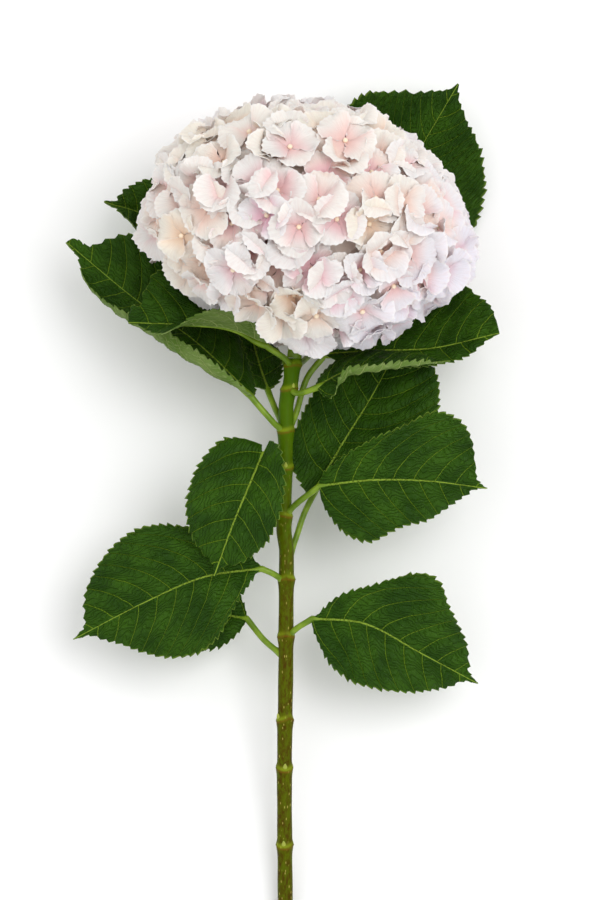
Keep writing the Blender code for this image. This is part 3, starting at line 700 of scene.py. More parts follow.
# %% [markdown]
# ## The stem
#
# The stem is green and a little woody, thickened at each node where a pair of leaves grew. A ring
# marks each node, with a brown scar and a small blunt bud where a leaf has dropped. A tube with
# many sections follows the stem's slight wander. Its foot is cut clean across: the end face is
# inset twice, which leaves a ring of bark, a ring of wood and the white pith.

# %% Stem shape
STEM_TOP = 345.5
STEM_SECTIONS = 430
RINGS = ((60.8, 262, 2.6), (105.9, 275, 2.6), (135.1, 215, 2.6), (183.7, 0, 1.0), (217.0, 180, 1.0),
         (253.9, 330, 1.2), (282.0, 265, 1.8), (303.6, 240, 1.8), (328.2, 230, 1.8), (342.0, 200, 1.0))
STEM_BENDS = ((0.0, 0.0), (99.0, -0.6), (181.0, 0.3), (232.0, 0.6), (246.0, -0.9), (316.0, 0.3),
              (337.0, 3.6), (STEM_TOP, 5.2))
BUDS = ((60.8, 262), (105.9, 275), (135.1, 208), (282.0, 275), (282.0, 180), (303.6, 20), (328.2, 300))


def stem_axis(height):
    """The middle of the stem at a height."""
    for (low, low_x), (high, high_x) in zip(STEM_BENDS, STEM_BENDS[1:]):
        if height <= high:
            share = smooth_step((height - low) / (high - low))
            return Vector((low_x + (high_x - low_x) * share, height, 0.0))
    return Vector((STEM_BENDS[-1][1], height, 0.0))


def above_ring(height, degrees, ring):
    """How far a point of the bark is above a ring, which dips under the leaf scars at its sides."""
    ring_height, scar, rise = ring
    return height - ring_height - rise * (0.45 - abs(math.cos(math.radians(degrees - scar))))


def stem_swell(height, degrees):
    """How much wider the stem is at a point: a soft swelling at each ring, with a lip on it."""
    swell = 0.0
    for ring in RINGS:
        gap = above_ring(height, degrees, ring)
        swell = max(swell, 0.75 * math.exp(-((gap / (4.0 if gap < 0.0 else 1.8)) ** 2)))
        swell = max(swell, 1.1 * math.exp(-(((gap + 0.4) / 0.7) ** 2)))
    return swell


def make_stem_tube():
    """The stem as one tube with a section every 0.8 mm, pushed out at its rings."""
    heights = [STEM_TOP * step / STEM_SECTIONS for step in range(STEM_SECTIONS + 1)]
    tube = make_tube("stem_dressed", [stem_axis(height) for height in heights],
                     [STEM_RADIUS - 0.1 + 0.08 * math.sin(height * 0.21) for height in heights], 12)
    for corner in tube.data.vertices:
        out = corner.co - stem_axis(corner.co.y)
        out.y = 0.0
        if out.length > 1.0:
            degrees = math.degrees(math.atan2(-out.z, out.x))
            corner.co += out.normalized() * stem_swell(corner.co.y, degrees)
            corner.co = keep_above_table(corner.co, 0.0)
    return tube


def make_bud(height, degrees):
    """A small blunt bud sitting in a leaf scar, leaning up the stem."""
    out = Vector((math.cos(math.radians(degrees)), 0.0, -math.sin(math.radians(degrees))))
    root = stem_axis(height) + out * (STEM_RADIUS - 0.6)
    rises = [Vector((0.0, 3.2 * step / 8 - 0.4, 0.0)) for step in range(9)]
    points = [root + out * (0.9 * smooth_step(step / 8)) + rise for step, rise in enumerate(rises)]
    radii = [1.0, 1.25, 1.35, 1.3, 1.15, 0.95, 0.75, 0.5, 0.25]
    return make_tube("bud", points, radii, 3)


print("the stem is", STEM_TOP, "mm long, with", len(RINGS), "rings and", len(BUDS), "buds")

# %% Stem surface


def stem_skin():
    """Green bark, mottled brown towards the cut end, with pale lenticels and yellow-green rings."""
    material, shader = new_material("hydrangea_stem_bark")
    where = add(material, "TexCoord", {}, {}, 3)
    height = add(material, "SeparateXYZ", {}, {0: where}, 1)
    older = add(material, "MapRange", EASE, {0: height, 1: -0.10, 2: -0.26})
    tone = add(material, "TexNoise", {}, {"Vector": where, "Scale": 60.0})
    colour = add(material, "Mix", COLOURS, {0: tone, 6: linear("#355600"), 7: linear("#4B6C02")}, 2)
    woody = add(material, "Mix", COLOURS, {0: tone, 6: linear("#475400"), 7: linear("#5A6402")}, 2)
    colour = add(material, "Mix", COLOURS, {0: older, 6: colour, 7: woody}, 2)
    # brown mottling: streaks 1 to 2 mm wide and three times as long, all over the older wood
    long_way = add(material, "Mapping", {}, {"Vector": where, "Scale": (1.0, 0.35, 1.0)})
    mottle = {"Vector": long_way, "Scale": 480.0, "Detail": 5.0, "Roughness": 0.75}
    streaks = add(material, "TexNoise", {}, mottle)
    brown = add(material, "MapRange", EASE, {0: streaks, 1: 0.36, 2: 0.66})
    aged = add(material, "MapRange", {}, {0: older, 3: 0.12, 4: 0.9})
    brown = add(material, "Math", TIMES, {0: brown, 1: aged})
    colour = add(material, "Mix", COLOURS, {0: brown, 6: colour, 7: linear("#422A00")}, 2)
    # lenticels: pale corky specks about 0.6 mm across
    specks = add(material, "TexVoronoi", {}, {"Vector": long_way, "Scale": 520.0, "Randomness": 1.0})
    speck = add(material, "MapRange", EASE, {0: specks, 1: 0.10, 2: 0.22, 3: 0.8, 4: 0.0})
    speck = add(material, "Math", TIMES, {0: speck, 1: older})
    colour = add(material, "Mix", COLOURS, {0: speck, 6: colour, 7: linear("#A59A4A")}, 2)
    marked = (("ring", 0.7, "#8A9A1E"), ("scar", 0.75, "#6E4A12"), ("bud", 0.8, "#A6B050"))
    for mark, strength, paint in marked:
        share = add(material, "Attribute", {"attribute_name": mark}, {}, 2)
        share = add(material, "Math", TIMES, {0: share, 1: strength})
        colour = add(material, "Mix", COLOURS, {0: share, 6: colour, 7: linear(paint)}, 2)
    bump = add(material, "Bump", {}, {"Height": streaks, "Strength": 0.3, "Distance": 0.0004})
    material.node_tree.links.new(colour, shader.inputs["Base Color"])
    material.node_tree.links.new(bump, shader.inputs["Normal"])
    shader.inputs["Roughness"].default_value = 0.4
    shader.inputs["Specular IOR Level"].default_value = 0.05
    return material


def cut_surface(name, dark, pale, grain):
    """Moist, matt plant tissue where the stem was cut across, mottled between two tones."""
    material, shader = new_material(name)
    where = add(material, "TexCoord", {}, {}, 3)
    fleck = add(material, "TexNoise", {}, {"Vector": where, "Scale": grain, "Detail": 3.0})
    fleck = add(material, "MapRange", EASE, {0: fleck, 1: 0.35, 2: 0.65})
    colour = add(material, "Mix", COLOURS, {0: fleck, 6: linear(dark), 7: linear(pale)}, 2)
    bump = add(material, "Bump", {}, {"Height": fleck, "Strength": 0.4, "Distance": 0.0002})
    material.node_tree.links.new(colour, shader.inputs["Base Color"])
    material.node_tree.links.new(bump, shader.inputs["Normal"])
    shader.inputs["Roughness"].default_value = 0.6
    return material


def mark_stem(stem, tube_corners):
    """Mark how far each corner belongs to a ring, a leaf scar or a bud."""
    marks = {mark: stem.data.attributes.new(mark, "FLOAT", "POINT") for mark in ("ring", "scar", "bud")}
    for corner in stem.data.vertices:
        out = corner.co - stem_axis(corner.co.y)
        degrees = math.degrees(math.atan2(-out.z, out.x))
        gaps = [above_ring(corner.co.y, degrees, ring) for ring in RINGS]
        sides = [abs(math.cos(math.radians(degrees - ring[1]))) for ring in RINGS]
        marks["ring"].data[corner.index].value = max(
            math.exp(-(((gap - 0.8) / 1.3) ** 2)) * (0.35 + 0.65 * side) for gap, side in zip(gaps, sides))
        marks["scar"].data[corner.index].value = max(math.exp(-(((gap + 0.9) / 0.5) ** 2)) for gap in gaps)
        marks["bud"].data[corner.index].value = 1.0 if corner.index >= tube_corners else 0.0


stem_tube = make_stem_tube()
tube_corners = len(stem_tube.data.vertices)
stem = join([stem_tube] + [make_bud(height, degrees) for height, degrees in BUDS], "stem_dressed")
mark_stem(stem, tube_corners)
for surface in (stem_skin(), cut_surface("cut_stem_wood", "#A9B878", "#CBD4A2", 1400.0),
                cut_surface("cut_stem_pith", "#DFE2C4", "#F0F0DC", 900.0)):
    stem.data.materials.append(surface)
print("the stem with its buds has", len(stem.data.vertices), "corners")

# %% [markdown]
# ## The cut foot
#
# The end face of the stem is inset by the width of the bark, and again by the width of the wood.
# The first inset turns what is left of the face to wood, the second to pith, which sinks a little.
# Then the whole stem is laid down.

# %% The cut across the foot
CUT_RINGS = ((1, 0.7, 0.0), (2, 1.7, -0.15))


def cut_foot(stem):
    """Inset the end face twice, and give each inset the surface in its material slot."""
    make_active(stem)
    bpy.ops.object.mode_set(mode="EDIT")
    bpy.ops.mesh.select_mode(type="FACE")
    bpy.ops.mesh.select_all(action="DESELECT")
    bpy.ops.object.mode_set(mode="OBJECT")
    for face in stem.data.polygons:
        face.select = face.normal.y < -0.9 and face.center.y < 0.5
    bpy.ops.object.mode_set(mode="EDIT")
    for slot, rim, sink in CUT_RINGS:
        bpy.ops.mesh.inset(thickness=rim, depth=sink)
        stem.active_material_index = slot
        bpy.ops.object.material_slot_assign()
    bpy.ops.object.mode_set(mode="OBJECT")


cut_foot(stem)
settle_down(stem)
make_active(stem)
bpy.ops.object.shade_smooth_by_angle(angle=math.radians(40))
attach(stem, "root")
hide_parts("stem")
print("the cut has", sum(face.material_index > 0 for face in stem.data.polygons), "faces")
print("the stem has", len(stem.data.polygons), "faces")

# %% [markdown]
# ## The shape of the bloom
#
# The head is a flattened ball of florets. Its outline is an ellipsoid with a few dents and bulges,
# the same rule as for the solid with a few more dents. Each dent is a direction, the share of the
# radius that it adds or takes, and its spread in degrees.

# %% Bloom outline
BLOOM_CENTRE = Vector((13.2, 423.5, 0.0))
BLOOM_WIDE = 100.0
BLOOM_TALL = 77.0
BLOOM_FRONT = 90.0
BLOOM_BACK = 89.0
OUTLINE_DENTS = (((-0.57, -0.80, 0.0), -0.17, 30), ((1.0, 0.15, 0.0), -0.05, 25),
                 ((0.90, -0.42, 0.0), 0.04, 16), ((-0.78, 0.62, 0.0), -0.01, 22),
                 ((0.75, 0.66, 0.1), -0.14, 30), ((0.0, 1.0, 0.1), -0.08, 32),
                 ((-0.34, -0.94, 0.2), -0.12, 15), ((-0.92, -0.38, 0.1), -0.11, 15),
                 ((0.78, -0.62, 0.1), -0.17, 13), ((0.30, -0.95, 0.1), -0.11, 12),
                 ((0.98, -0.22, 0.0), 0.06, 11))


def bloom_point(way, share):
    """A point of the bloom in a direction, at a share of the way out to its outline."""
    reach = 1.0
    for centre, change, spread in OUTLINE_DENTS:
        reach += change * math.exp(-((math.degrees(way.angle(Vector(centre))) / spread) ** 2))
    depth = BLOOM_FRONT if way.z > 0 else BLOOM_BACK
    return BLOOM_CENTRE + Vector((way.x * BLOOM_WIDE, way.y * BLOOM_TALL, way.z * depth)) * reach * share


def bloom_normal(way):
    """The direction straight out of the bloom's outline."""
    depth = BLOOM_FRONT if way.z > 0 else BLOOM_BACK
    return Vector((way.x / BLOOM_WIDE, way.y / BLOOM_TALL, way.z / depth)).normalized()


print("the bloom's solid core is", 2 * BLOOM_WIDE, "mm across")

# %% [markdown]
# ## One sepal
#
# What look like petals are sepals: broad, rounded, narrow at the claw, with a fine wavy and
# toothed margin and veins that fan out from the claw. One flat grid is rounded to that outline, and
# then each copy gets its own cup, ruffles and twist, as no two on a head are alike.

# %% Sepal outline
SEPAL_CELLS = 10
SEPAL_LENGTH = 17.8
SEPAL_WIDE = 22.5
SEPAL_THICK = 0.25


def sepal_grid():
    """A sepal's corners as shares of its length and width, with the way out from its middle."""
    deselect_all()
    bpy.ops.mesh.primitive_grid_add(x_subdivisions=SEPAL_CELLS, y_subdivisions=SEPAL_CELLS, size=2.0)
    grid = bpy.context.object
    corners = []
    for corner in grid.data.vertices:
        x, y = corner.co.x, corner.co.y
        round_x = x * math.sqrt(1.0 - y * y / 2.0)
        round_y = y * math.sqrt(1.0 - x * x / 2.0)
        length = 0.5 + 0.5 * round_x
        claw = 0.28 + 0.72 * smooth_step(length / 0.5)
        corners.append((length, round_y * claw, math.hypot(round_x, round_y), math.atan2(round_y, round_x)))
    faces = [tuple(face.vertices) for face in grid.data.polygons]
    bpy.data.objects.remove(grid)
    return corners, faces


SEPAL_CORNERS, SEPAL_FACES = sepal_grid()
print("a sepal has", len(SEPAL_FACES), "faces on each side")

# %% [markdown]
# ## One floret
#
# Four or five sepals overlap round a bead, the closed true flower. They rise from the claw like a
# shallow dish, then lean back at the margin. Each floret's colours are its own: the heart is pink,
# the margins white, and some are creamy or faintly lilac.

# %% Floret
LONE_LIFT = 18.0
TUCKED_LIFT = 6.0
NEAR_LEVEL = 3.0
PASS_UNDER = 3.5
TOOTH_OUT = 0.018
TOOTH_IN = -0.026


def sepal_lift(centre, out, way, length, others):
    """How steeply a sepal leaves the claw, so that it passes under, over or up against a neighbour."""
    near = None
    for other in others:
        gap = other - centre
        height = gap.dot(out)
        flat = gap - out * height
        aligned = flat.dot(way) / max(flat.length, 0.1)
        if aligned > 0.6 and (near is None or flat.length < near[0]):
            near = (flat.length, height)
    if near is None:
        return math.radians(LONE_LIFT)
    if near[1] > NEAR_LEVEL:
        return max(0.0, math.atan2(near[1] - PASS_UNDER, near[0]))
    if near[1] < -NEAR_LEVEL:
        return math.radians(TUCKED_LIFT)
    return 1.05 * math.acos(min(0.97, max(0.5, 0.62 * near[0] / length)))


def draw_folds(sepal, lift, rng):
    """How one sepal bends, cups, ruffles and twists: its own draw of each."""
    folds = {"bend": -lift * rng.uniform(0.2, 0.7) + rng.uniform(-0.2, 0.1)}
    folds["flare"] = rng.uniform(0.0, 3.2)
    folds["hollow"] = rng.uniform(-1.0, 3.5)
    folds["pleat"] = rng.uniform(1.5, 4.5) if rng.random() < 0.35 else 0.0
    folds["twist"] = rng.uniform(-0.15, 0.15)
    folds["layer"] = 1.0 * (sepal % 2) + rng.uniform(0.0, 0.4)
    folds["phase"] = rng.uniform(0.0, math.tau)
    folds["second"] = rng.uniform(0.0, math.tau)
    folds["ruffle"] = rng.uniform(0.3, 1.1)
    folds["waves"] = rng.choice((4, 5, 6, 7))
    folds["creases"] = rng.uniform(3.0, 5.5)
    return folds


def stand_off(folds, y, reach, across, radial, around):
    """How far a point of a sepal stands off a flat one, from the sepal's folds."""
    stand = folds["layer"] * smooth_step(reach * 3.0)
    stand += folds["hollow"] * across * across * smooth_step(reach * 1.5)
    stand += folds["pleat"] * abs(across) * smooth_step(reach / 0.7)
    stand += folds["twist"] * y * reach
    stand += 0.45 * reach * math.sin(folds["creases"] * across + folds["second"])
    stand -= folds["flare"] * smooth_step((reach - 0.6) / 0.4) ** 2
    ripple = math.sin(folds["waves"] * around + folds["phase"])
    stand += folds["ruffle"] * smooth_step((radial - 0.35) / 0.65) * smooth_step(reach / 0.6) * ripple
    stand += 0.4 * smooth_step((radial - 0.7) / 0.3) * math.sin(13.0 * around + folds["second"])
    return stand


def make_floret(centre, out, spin, size, rise, sepals, others, rng):
    """The corners, faces and marks of a floret's sepals, as open sheets."""
    turn = out.to_track_quat("Z", "Y").to_matrix()
    corners = []
    faces = []
    marks = []
    for sepal in range(sepals):
        heading = spin + math.tau * sepal / sepals + rng.uniform(-0.15, 0.15)
        length = SEPAL_LENGTH * size * rng.uniform(0.9, 1.1)
        wide = SEPAL_WIDE * size * rng.uniform(0.9, 1.1) * (4.0 / sepals) ** 0.8
        way = turn @ Vector((math.cos(heading), math.sin(heading), 0.0))
        lift = sepal_lift(centre, out, way, length, others) * rise + math.radians(rng.uniform(-5.0, 7.0))
        folds = draw_folds(sepal, lift, rng)
        start = len(corners)
        for reach, across, radial, around in SEPAL_CORNERS:
            tooth = TOOTH_OUT if round(around * SEPAL_CELLS * 2.0 / math.pi) % 2 else TOOTH_IN
            bite = tooth + rng.uniform(-0.03, 0.02) if radial > 0.99 else 0.0
            run = length * (reach + bite * math.cos(around))
            y = wide * 0.5 * (across + bite * math.sin(around))
            stand = stand_off(folds, y, reach, across, radial, around)
            slope = lift + folds["bend"] * reach
            middle = lift + folds["bend"] * reach * 0.5
            x = run * math.cos(middle) - stand * math.sin(slope)
            z = run * math.sin(middle) + stand * math.cos(slope)
            spot = Vector((math.cos(heading) * x - math.sin(heading) * y,
                           math.sin(heading) * x + math.cos(heading) * y, z))
            corners.append(keep_above_table(centre + turn @ spot, 0.4))
            marks.append((reach, math.atan2(across * 0.6, reach + 0.12), radial))
        faces += [tuple(start + corner for corner in face) for face in SEPAL_FACES]
    return corners, faces, marks


print("a floret is about", round(2 * SEPAL_LENGTH), "mm across")

# %% [markdown]
# ## Setting the florets round the head
#
# A few florets that show their whole face come first, at chosen places, and the golden spiral
# fills the rest. A floret that would cut into a leaf is drawn in towards the heart until it is
# clear, or left out if seven tries aren't enough. Five pieces share them, so that no one piece is
# too heavy.

# %% Place the florets
FLORETS = 268
SHOWN_SHARE = 0.945
OTHER_SHARES = (0.85, 0.915)
NEIGHBOURS = 36.0
DRAWN_IN = 0.035
TRIES = 7
FACE_FLORETS = ((7.9, 418.7), (-4.4, 439.3), (-10.2, 425.3), (-14.9, 444.6), (19.6, 434.1), (29.5, 423.0),
                (47.7, 420.6), (51.8, 435.2), (66.4, 433.5), (71.1, 403.7), (62.3, 386.1), (15.5, 395.5),
                (26.0, 390.2), (17.8, 369.7), (101.0, 406.0), (-21.4, 475.6), (2.6, 465.1), (86.0, 470.0),
                (93.0, 395.0), (44.0, 372.0), (-45.0, 430.0), (-30.0, 395.0), (35.0, 470.0),
                (-60.0, 415.0))


def face_way(x, y):
    """The direction from the bloom's centre to where a point seen from the front lies on it."""
    flat = Vector(((x - BLOOM_CENTRE.x) / BLOOM_WIDE, (y - BLOOM_CENTRE.y) / BLOOM_TALL, 0.0)) / 0.95
    flat.z = math.sqrt(max(0.02, 1.0 - flat.length_squared))
    return flat.normalized()


def spiral_ways():
    """Directions spread evenly round the bloom, apart from the gap where the stalk comes in."""
    golden = math.pi * (3.0 - math.sqrt(5.0))
    for index in range(FLORETS):
        height = 1.0 - 2.0 * (index + 0.5) / FLORETS
        ring = math.sqrt(1.0 - height * height)
        way = Vector((ring * math.cos(golden * index), height, ring * math.sin(golden * index)))
        if way.angle(Vector((0.0, -1.0, 0.0))) > math.radians(9):
            yield way


leaf_trees = [BVHTree.FromPolygons(corners, faces) for corners, faces in leaf_sheets]


def clear_of_leaves(corners, heart):
    """Whether a floret keeps off every leaf and no leaf lies between it and the heart."""
    probes = corners[::7]
    for tree in leaf_trees:
        for probe in probes:
            if tree.find_nearest(probe, 1.6)[0] is not None:
                return False
        for probe in probes[::3]:
            if tree.ray_cast(heart, (probe - heart).normalized(), (probe - heart).length)[0] is not None:
                return False
    return True


def place_florets():
    """Every floret of the head: its sheets, marks, tint, middle and way out."""
    rng = random.Random(11)
    faces_shown = [face_way(x, y) for x, y in FACE_FLORETS]
    ways = [(way, True) for way in faces_shown]
    ways += [(way, False) for way in spiral_ways() if min(way.angle(other) for other in faces_shown) > 0.15]
    places = []
    for way, shown in ways:
        lean = Vector((rng.uniform(-1, 1), rng.uniform(-1, 1), rng.uniform(-1, 1)))
        lean *= 0.10 if shown else 0.26
        lean.z += 0.65 * (1.0 - abs(way.z)) * (1.0 if way.z > -0.25 else -0.5)
        first = (SHOWN_SHARE if shown else rng.uniform(*OTHER_SHARES)) - 0.015 * (1.0 - abs(way.z))
        first += 0.04 * smooth_step((-0.6 - way.y) / 0.3) * smooth_step(way.z / 0.2)
        places.append((way, shown, (bloom_normal(way) + lean).normalized(), first, bloom_point(way, first)))
    florets = []
    for way, shown, out, first, spot in places:
        others = [place[4] for place in places if 0.1 < (place[4] - spot).length < NEIGHBOURS]
        spin = rng.uniform(0.0, math.tau)
        size = rng.uniform(0.92, 1.06) if shown else rng.uniform(0.88, 1.12)
        sepals = 5 if rng.random() < 0.2 else 4
        rise = 0.6 if shown else rng.uniform(0.8, 1.1)
        state = rng.getstate()
        for step in range(TRIES):
            rng.setstate(state)
            middle = keep_above_table(bloom_point(way, first - DRAWN_IN * step), 1.6)
            corners, faces, marks = make_floret(middle, out, spin, size, rise, sepals, others, rng)
            if clear_of_leaves(corners, bloom_point(way, 0.45)):
                florets.append((way, middle, out, corners, faces, marks, rng.random(), rng.random()))
                break
    return florets


florets = place_florets()
print(len(florets), "florets")

# %% [markdown]
# ## Sepal surface
#
# Sepals are thin and matt, and they let some light through. The warm peach in the depths of the head is
# partly that light and partly painted shade, a peach tint that grows with depth. The margins are white with
# a painted highlight along the rim, the claws pink or creamy, and fine veins fan out.

# %% Sepal material


def sepal_surface():
    """Soft translucent sepals, pink at the claw and white at the margin, with fanned veins, painted warm
    shade in the depths and a painted highlight at the rim.
    """
    material, shader = new_material("hydrangea_sepal")
    sepal = add(material, "UVMap", {"uv_map": "sepal"}, {})
    reach = add(material, "SeparateXYZ", {}, {0: sepal})
    tint = add(material, "UVMap", {"uv_map": "tint"}, {})
    cream = add(material, "SeparateXYZ", {}, {0: tint})
    blush = add(material, "SeparateXYZ", {}, {0: tint}, 1)
    margin = add(material, "Mix", COLOURS, {0: cream, 6: linear("#E9E5E5"), 7: linear("#ECE4D5")}, 2)
    # the right and lower rim is faintly lilac
    where = add(material, "TexCoord", {}, {}, 3)
    aside = add(material, "VectorMath", {"operation": "DOT_PRODUCT"}, {0: where, 1: (0.8, -0.6, 0.0)}, 1)
    lilac = add(material, "MapRange", EASE, {0: aside, 1: 0.05, 2: 0.11, 3: 0.0, 4: 0.7})
    margin = add(material, "Mix", COLOURS, {0: lilac, 6: margin, 7: linear("#E3DEEC")}, 2)
    # painted shade: the deeper a point lies in the head, the warmer peach it is painted, standing in for
    # the warm shade between the florets
    depth = add(material, "Attribute", {"attribute_name": "depth"}, {}, 2)
    depth = add(material, "MapRange", EASE, {0: depth, 1: 0.05, 2: 0.6, 3: 0.0, 4: 0.9})
    margin = add(material, "Mix", COLOURS, {0: depth, 6: margin, 7: linear("#FFDDCA")}, 2)
    claw = add(material, "Mix", COLOURS, {0: cream, 6: linear("#F2A7C1"), 7: linear("#F2C6A4")}, 2)
    spread = add(material, "Math", {"operation": "MULTIPLY_ADD"}, {0: blush, 1: -0.35, 2: reach})
    share = add(material, "MapRange", EASE, {0: spread, 1: -0.15, 2: 0.60, 3: 0.78, 4: 0.0})
    colour = add(material, "Mix", COLOURS, {0: share, 6: margin, 7: claw}, 2)
    # the rim is painted lighter: partly the sepal's own white margin, partly a painted highlight along its
    # edge
    rim = add(material, "Attribute", {"attribute_name": "rim"}, {}, 2)
    rim = add(material, "MapRange", EASE, {0: rim, 1: 0.82, 2: 1.0, 3: 0.0, 4: 0.5})
    colour = add(material, "Mix", COLOURS, {0: rim, 6: colour, 7: linear("#F1EEEB")}, 2)
    # veins fan out from the claw, about 1.5 mm apart at the margin
    fan = add(material, "Mapping", {}, {"Vector": sepal, "Scale": (1.6, 17.0, 1.0)})
    streaks = add(material, "TexNoise", {}, {"Vector": fan, "Scale": 1.0, "Detail": 3.0, "Roughness": 0.7})
    vein = add(material, "MapRange", EASE, {0: streaks, 1: 0.42, 2: 0.68})
    fade = add(material, "Math", TIMES, {0: vein, 1: 0.2})
    colour = add(material, "Mix", COLOURS, {0: fade, 6: colour, 7: linear("#D3B7B2")}, 2)
    bump = add(material, "Bump", {}, {"Height": streaks, "Strength": 0.7, "Distance": 0.0008})
    material.node_tree.links.new(colour, shader.inputs["Base Color"])
    material.node_tree.links.new(bump, shader.inputs["Normal"])
    shader.inputs["Roughness"].default_value = 0.6
    shader.inputs["Specular IOR Level"].default_value = 0.2
    shader.inputs["Subsurface Weight"].default_value = 0.3
    shader.inputs["Subsurface Radius"].default_value = (1.0, 0.8, 0.7)
    shader.inputs["Subsurface Scale"].default_value = 0.0015
    return material


def bead_surface():
    """Waxy cream bead at a floret's heart."""
    material, shader = new_material("closed_flower_bead")
    where = add(material, "TexCoord", {}, {}, 3)
    blotch = add(material, "TexNoise", {}, {"Vector": where, "Scale": 600.0})
    colour = add(material, "Mix", COLOURS, {0: blotch, 6: linear("#F8EBCB"), 7: linear("#F3D9C2")}, 2)
    material.node_tree.links.new(colour, shader.inputs["Base Color"])
    shader.inputs["Roughness"].default_value = 0.45
    return material


def heart_surface():
    """The heart of the head, where only crowded small sepals show, painted warm peach as the shade between
    them.
    """
    material, shader = new_material("bloom_heart_painted_shade")
    where = add(material, "TexCoord", {}, {}, 3)
    # painted shade: warm peach cells stand in for the shade between crowded inner sepals
    cells = add(material, "TexVoronoi", {}, {"Vector": where, "Scale": 120.0})
    colour = add(material, "Mix", COLOURS, {0: cells, 6: linear("#FDE6D6"), 7: linear("#FFF3E8")}, 2)
    bump = add(material, "Bump", {}, {"Height": cells, "Strength": 0.8, "Distance": 0.002})
    material.node_tree.links.new(colour, shader.inputs["Base Color"])
    material.node_tree.links.new(bump, shader.inputs["Normal"])
    shader.inputs["Roughness"].default_value = 0.8
    return material


SEPAL = sepal_surface()
BEAD = bead_surface()
HEART = heart_surface()
print("bloom surfaces:", SEPAL.name, BEAD.name, HEART.name)

# %% Build the bloom
HEAD_DEPTH = 16.0
CREAM_PATCHES = (((-0.45, 0.75, 0.5), 32), ((-0.80, -0.15, 0.55), 26), ((0.45, -0.05, 0.9), 20),
                 ((-0.10, -0.70, 0.70), 18), ((0.3, 0.75, 0.6), 24))


def cream_of(way, draw):
    """How creamy a floret is, from its place on the head and a draw of its own."""
    near = max(math.exp(-((math.degrees(way.angle(Vector(centre))) / spread) ** 2))
               for centre, spread in CREAM_PATCHES)
    return min(1.0, max(0.0, 0.15 + 0.75 * near + 0.5 * (draw - 0.5)))


def blush_of(way, draw):
    """How far the pink spreads over a floret: most at the middle of the front."""
    middle = math.exp(-((math.degrees(way.angle(Vector((-0.05, -0.05, 1.0)))) / 55) ** 2))
    return min(1.0, max(0.0, 0.15 + 0.45 * middle + 0.8 * (draw - 0.5)))


def depth_of(spot):
    """How deep a point lies in the head: 0 at its outline, 1 from 16 mm further in."""
    way = Vector(((spot.x - BLOOM_CENTRE.x) / BLOOM_WIDE, (spot.y - BLOOM_CENTRE.y) / BLOOM_TALL,
                  spot.z / BLOOM_FRONT)).normalized()
    skin = (bloom_point(way, 1.0) - BLOOM_CENTRE).length
    return min(1.0, max(0.0, (skin - (spot - BLOOM_CENTRE).length) / HEAD_DEPTH))


def make_cluster(name, group):
    """The sepals of a group of florets as one piece, thickened, with their UV maps."""
    corners, faces, uv_place, uv_tint = [], [], [], []
    for way, _, _, spots, cells, marks, first, second in group:
        start = len(corners)
        corners += spots
        tint = (cream_of(way, first), blush_of(way, second))
        for cell in cells:
            faces.append(tuple(start + corner for corner in cell))
            for corner in cell:
                uv_place.append(marks[corner][:2])
                uv_tint.append(tint)
    mesh = bpy.data.meshes.new(name)
    mesh.from_pydata(corners, [], faces)
    for label, values in (("sepal", uv_place), ("tint", uv_tint)):
        layer = mesh.uv_layers.new(name=label)
        for loop, value in enumerate(values):
            layer.data[loop].uv = value
    depth = mesh.attributes.new("depth", "FLOAT", "POINT")
    rim = mesh.attributes.new("rim", "FLOAT", "POINT")
    rims = [mark[2] for floret in group for mark in floret[5]]
    for number, spot in enumerate(corners):
        depth.data[number].value = depth_of(spot)
        rim.data[number].value = rims[number]
    cluster = bpy.data.objects.new(name, mesh)
    bpy.context.scene.collection.objects.link(cluster)
    mesh.materials.append(SEPAL)
    plate = cluster.modifiers.new("Thickness", "SOLIDIFY")
    plate.thickness = SEPAL_THICK
    plate.offset = 0.0
    apply_modifiers(cluster)
    return cluster


def finish_bloom_piece(piece):
    """Lay a piece of the bloom down and let it stand for the bloom's solid."""
    settle_down(piece)
    make_active(piece)
    bpy.ops.object.shade_smooth_by_angle(angle=math.radians(60))
    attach(piece, "root")
    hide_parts("bloom")


CLUSTERS = 5
for number in range(CLUSTERS):
    cluster = make_cluster("florets_" + "abcde"[number], florets[number::CLUSTERS])
    finish_bloom_piece(cluster)
    print(cluster.name, "has", len(cluster.data.polygons), "faces")

# %% [markdown]
# ## Beads, branchlets and heart
#
# A bead sits in the middle of each floret, on a thin green branchlet that runs in towards the top
# of the stem. The heart is a dented ball that fills the head and hides the far side.

# %% Beads and branchlets
BEAD_RADIUS = 1.6
HEART_SHARE = 0.85


def make_beads():
    """One bead for each floret, a small ball flattened along its way out, as the closed flower is on top
    where its four lobes meet.
    """
    deselect_all()
    bpy.ops.mesh.primitive_uv_sphere_add(segments=8, ring_count=6, radius=BEAD_RADIUS)
    first = bpy.context.object
    beads = []
    for _, middle, out, *_ in florets:
        bead = first.copy()
        bead.data = first.data.copy()
        bpy.context.scene.collection.objects.link(bead)
        turn = out.to_track_quat("Z", "Y").to_matrix().to_4x4()
        place = Matrix.Translation(keep_above_table(middle + out * 1.3, 2.1))
        bead.data.transform(place @ turn @ Matrix.Diagonal((1.0, 1.0, 0.85, 1.0)))
        beads.append(bead)
    bpy.data.objects.remove(first)
    return join(beads, "floret_beads")


beads = make_beads()
beads.data.materials.append(BEAD)
finish_bloom_piece(beads)


def make_branchlets():
    """A thin branchlet from each floret in towards the top of the stem."""
    seat = stem_axis(STEM_TOP)
    twigs = []
    for way, middle, out, *_ in florets:
        inner = bloom_point(way, 0.55).lerp(seat, 0.35)
        points = [middle - out * 0.2, middle.lerp(inner, 0.3) - out * 2.0, inner]
        twigs.append(make_tube("twig", points, (0.7, 0.6, 0.8), 0))
    return join(twigs, "floret_branchlets")


branchlets = make_branchlets()
branchlets.data.materials.append(STALK_SKIN)
finish_bloom_piece(branchlets)

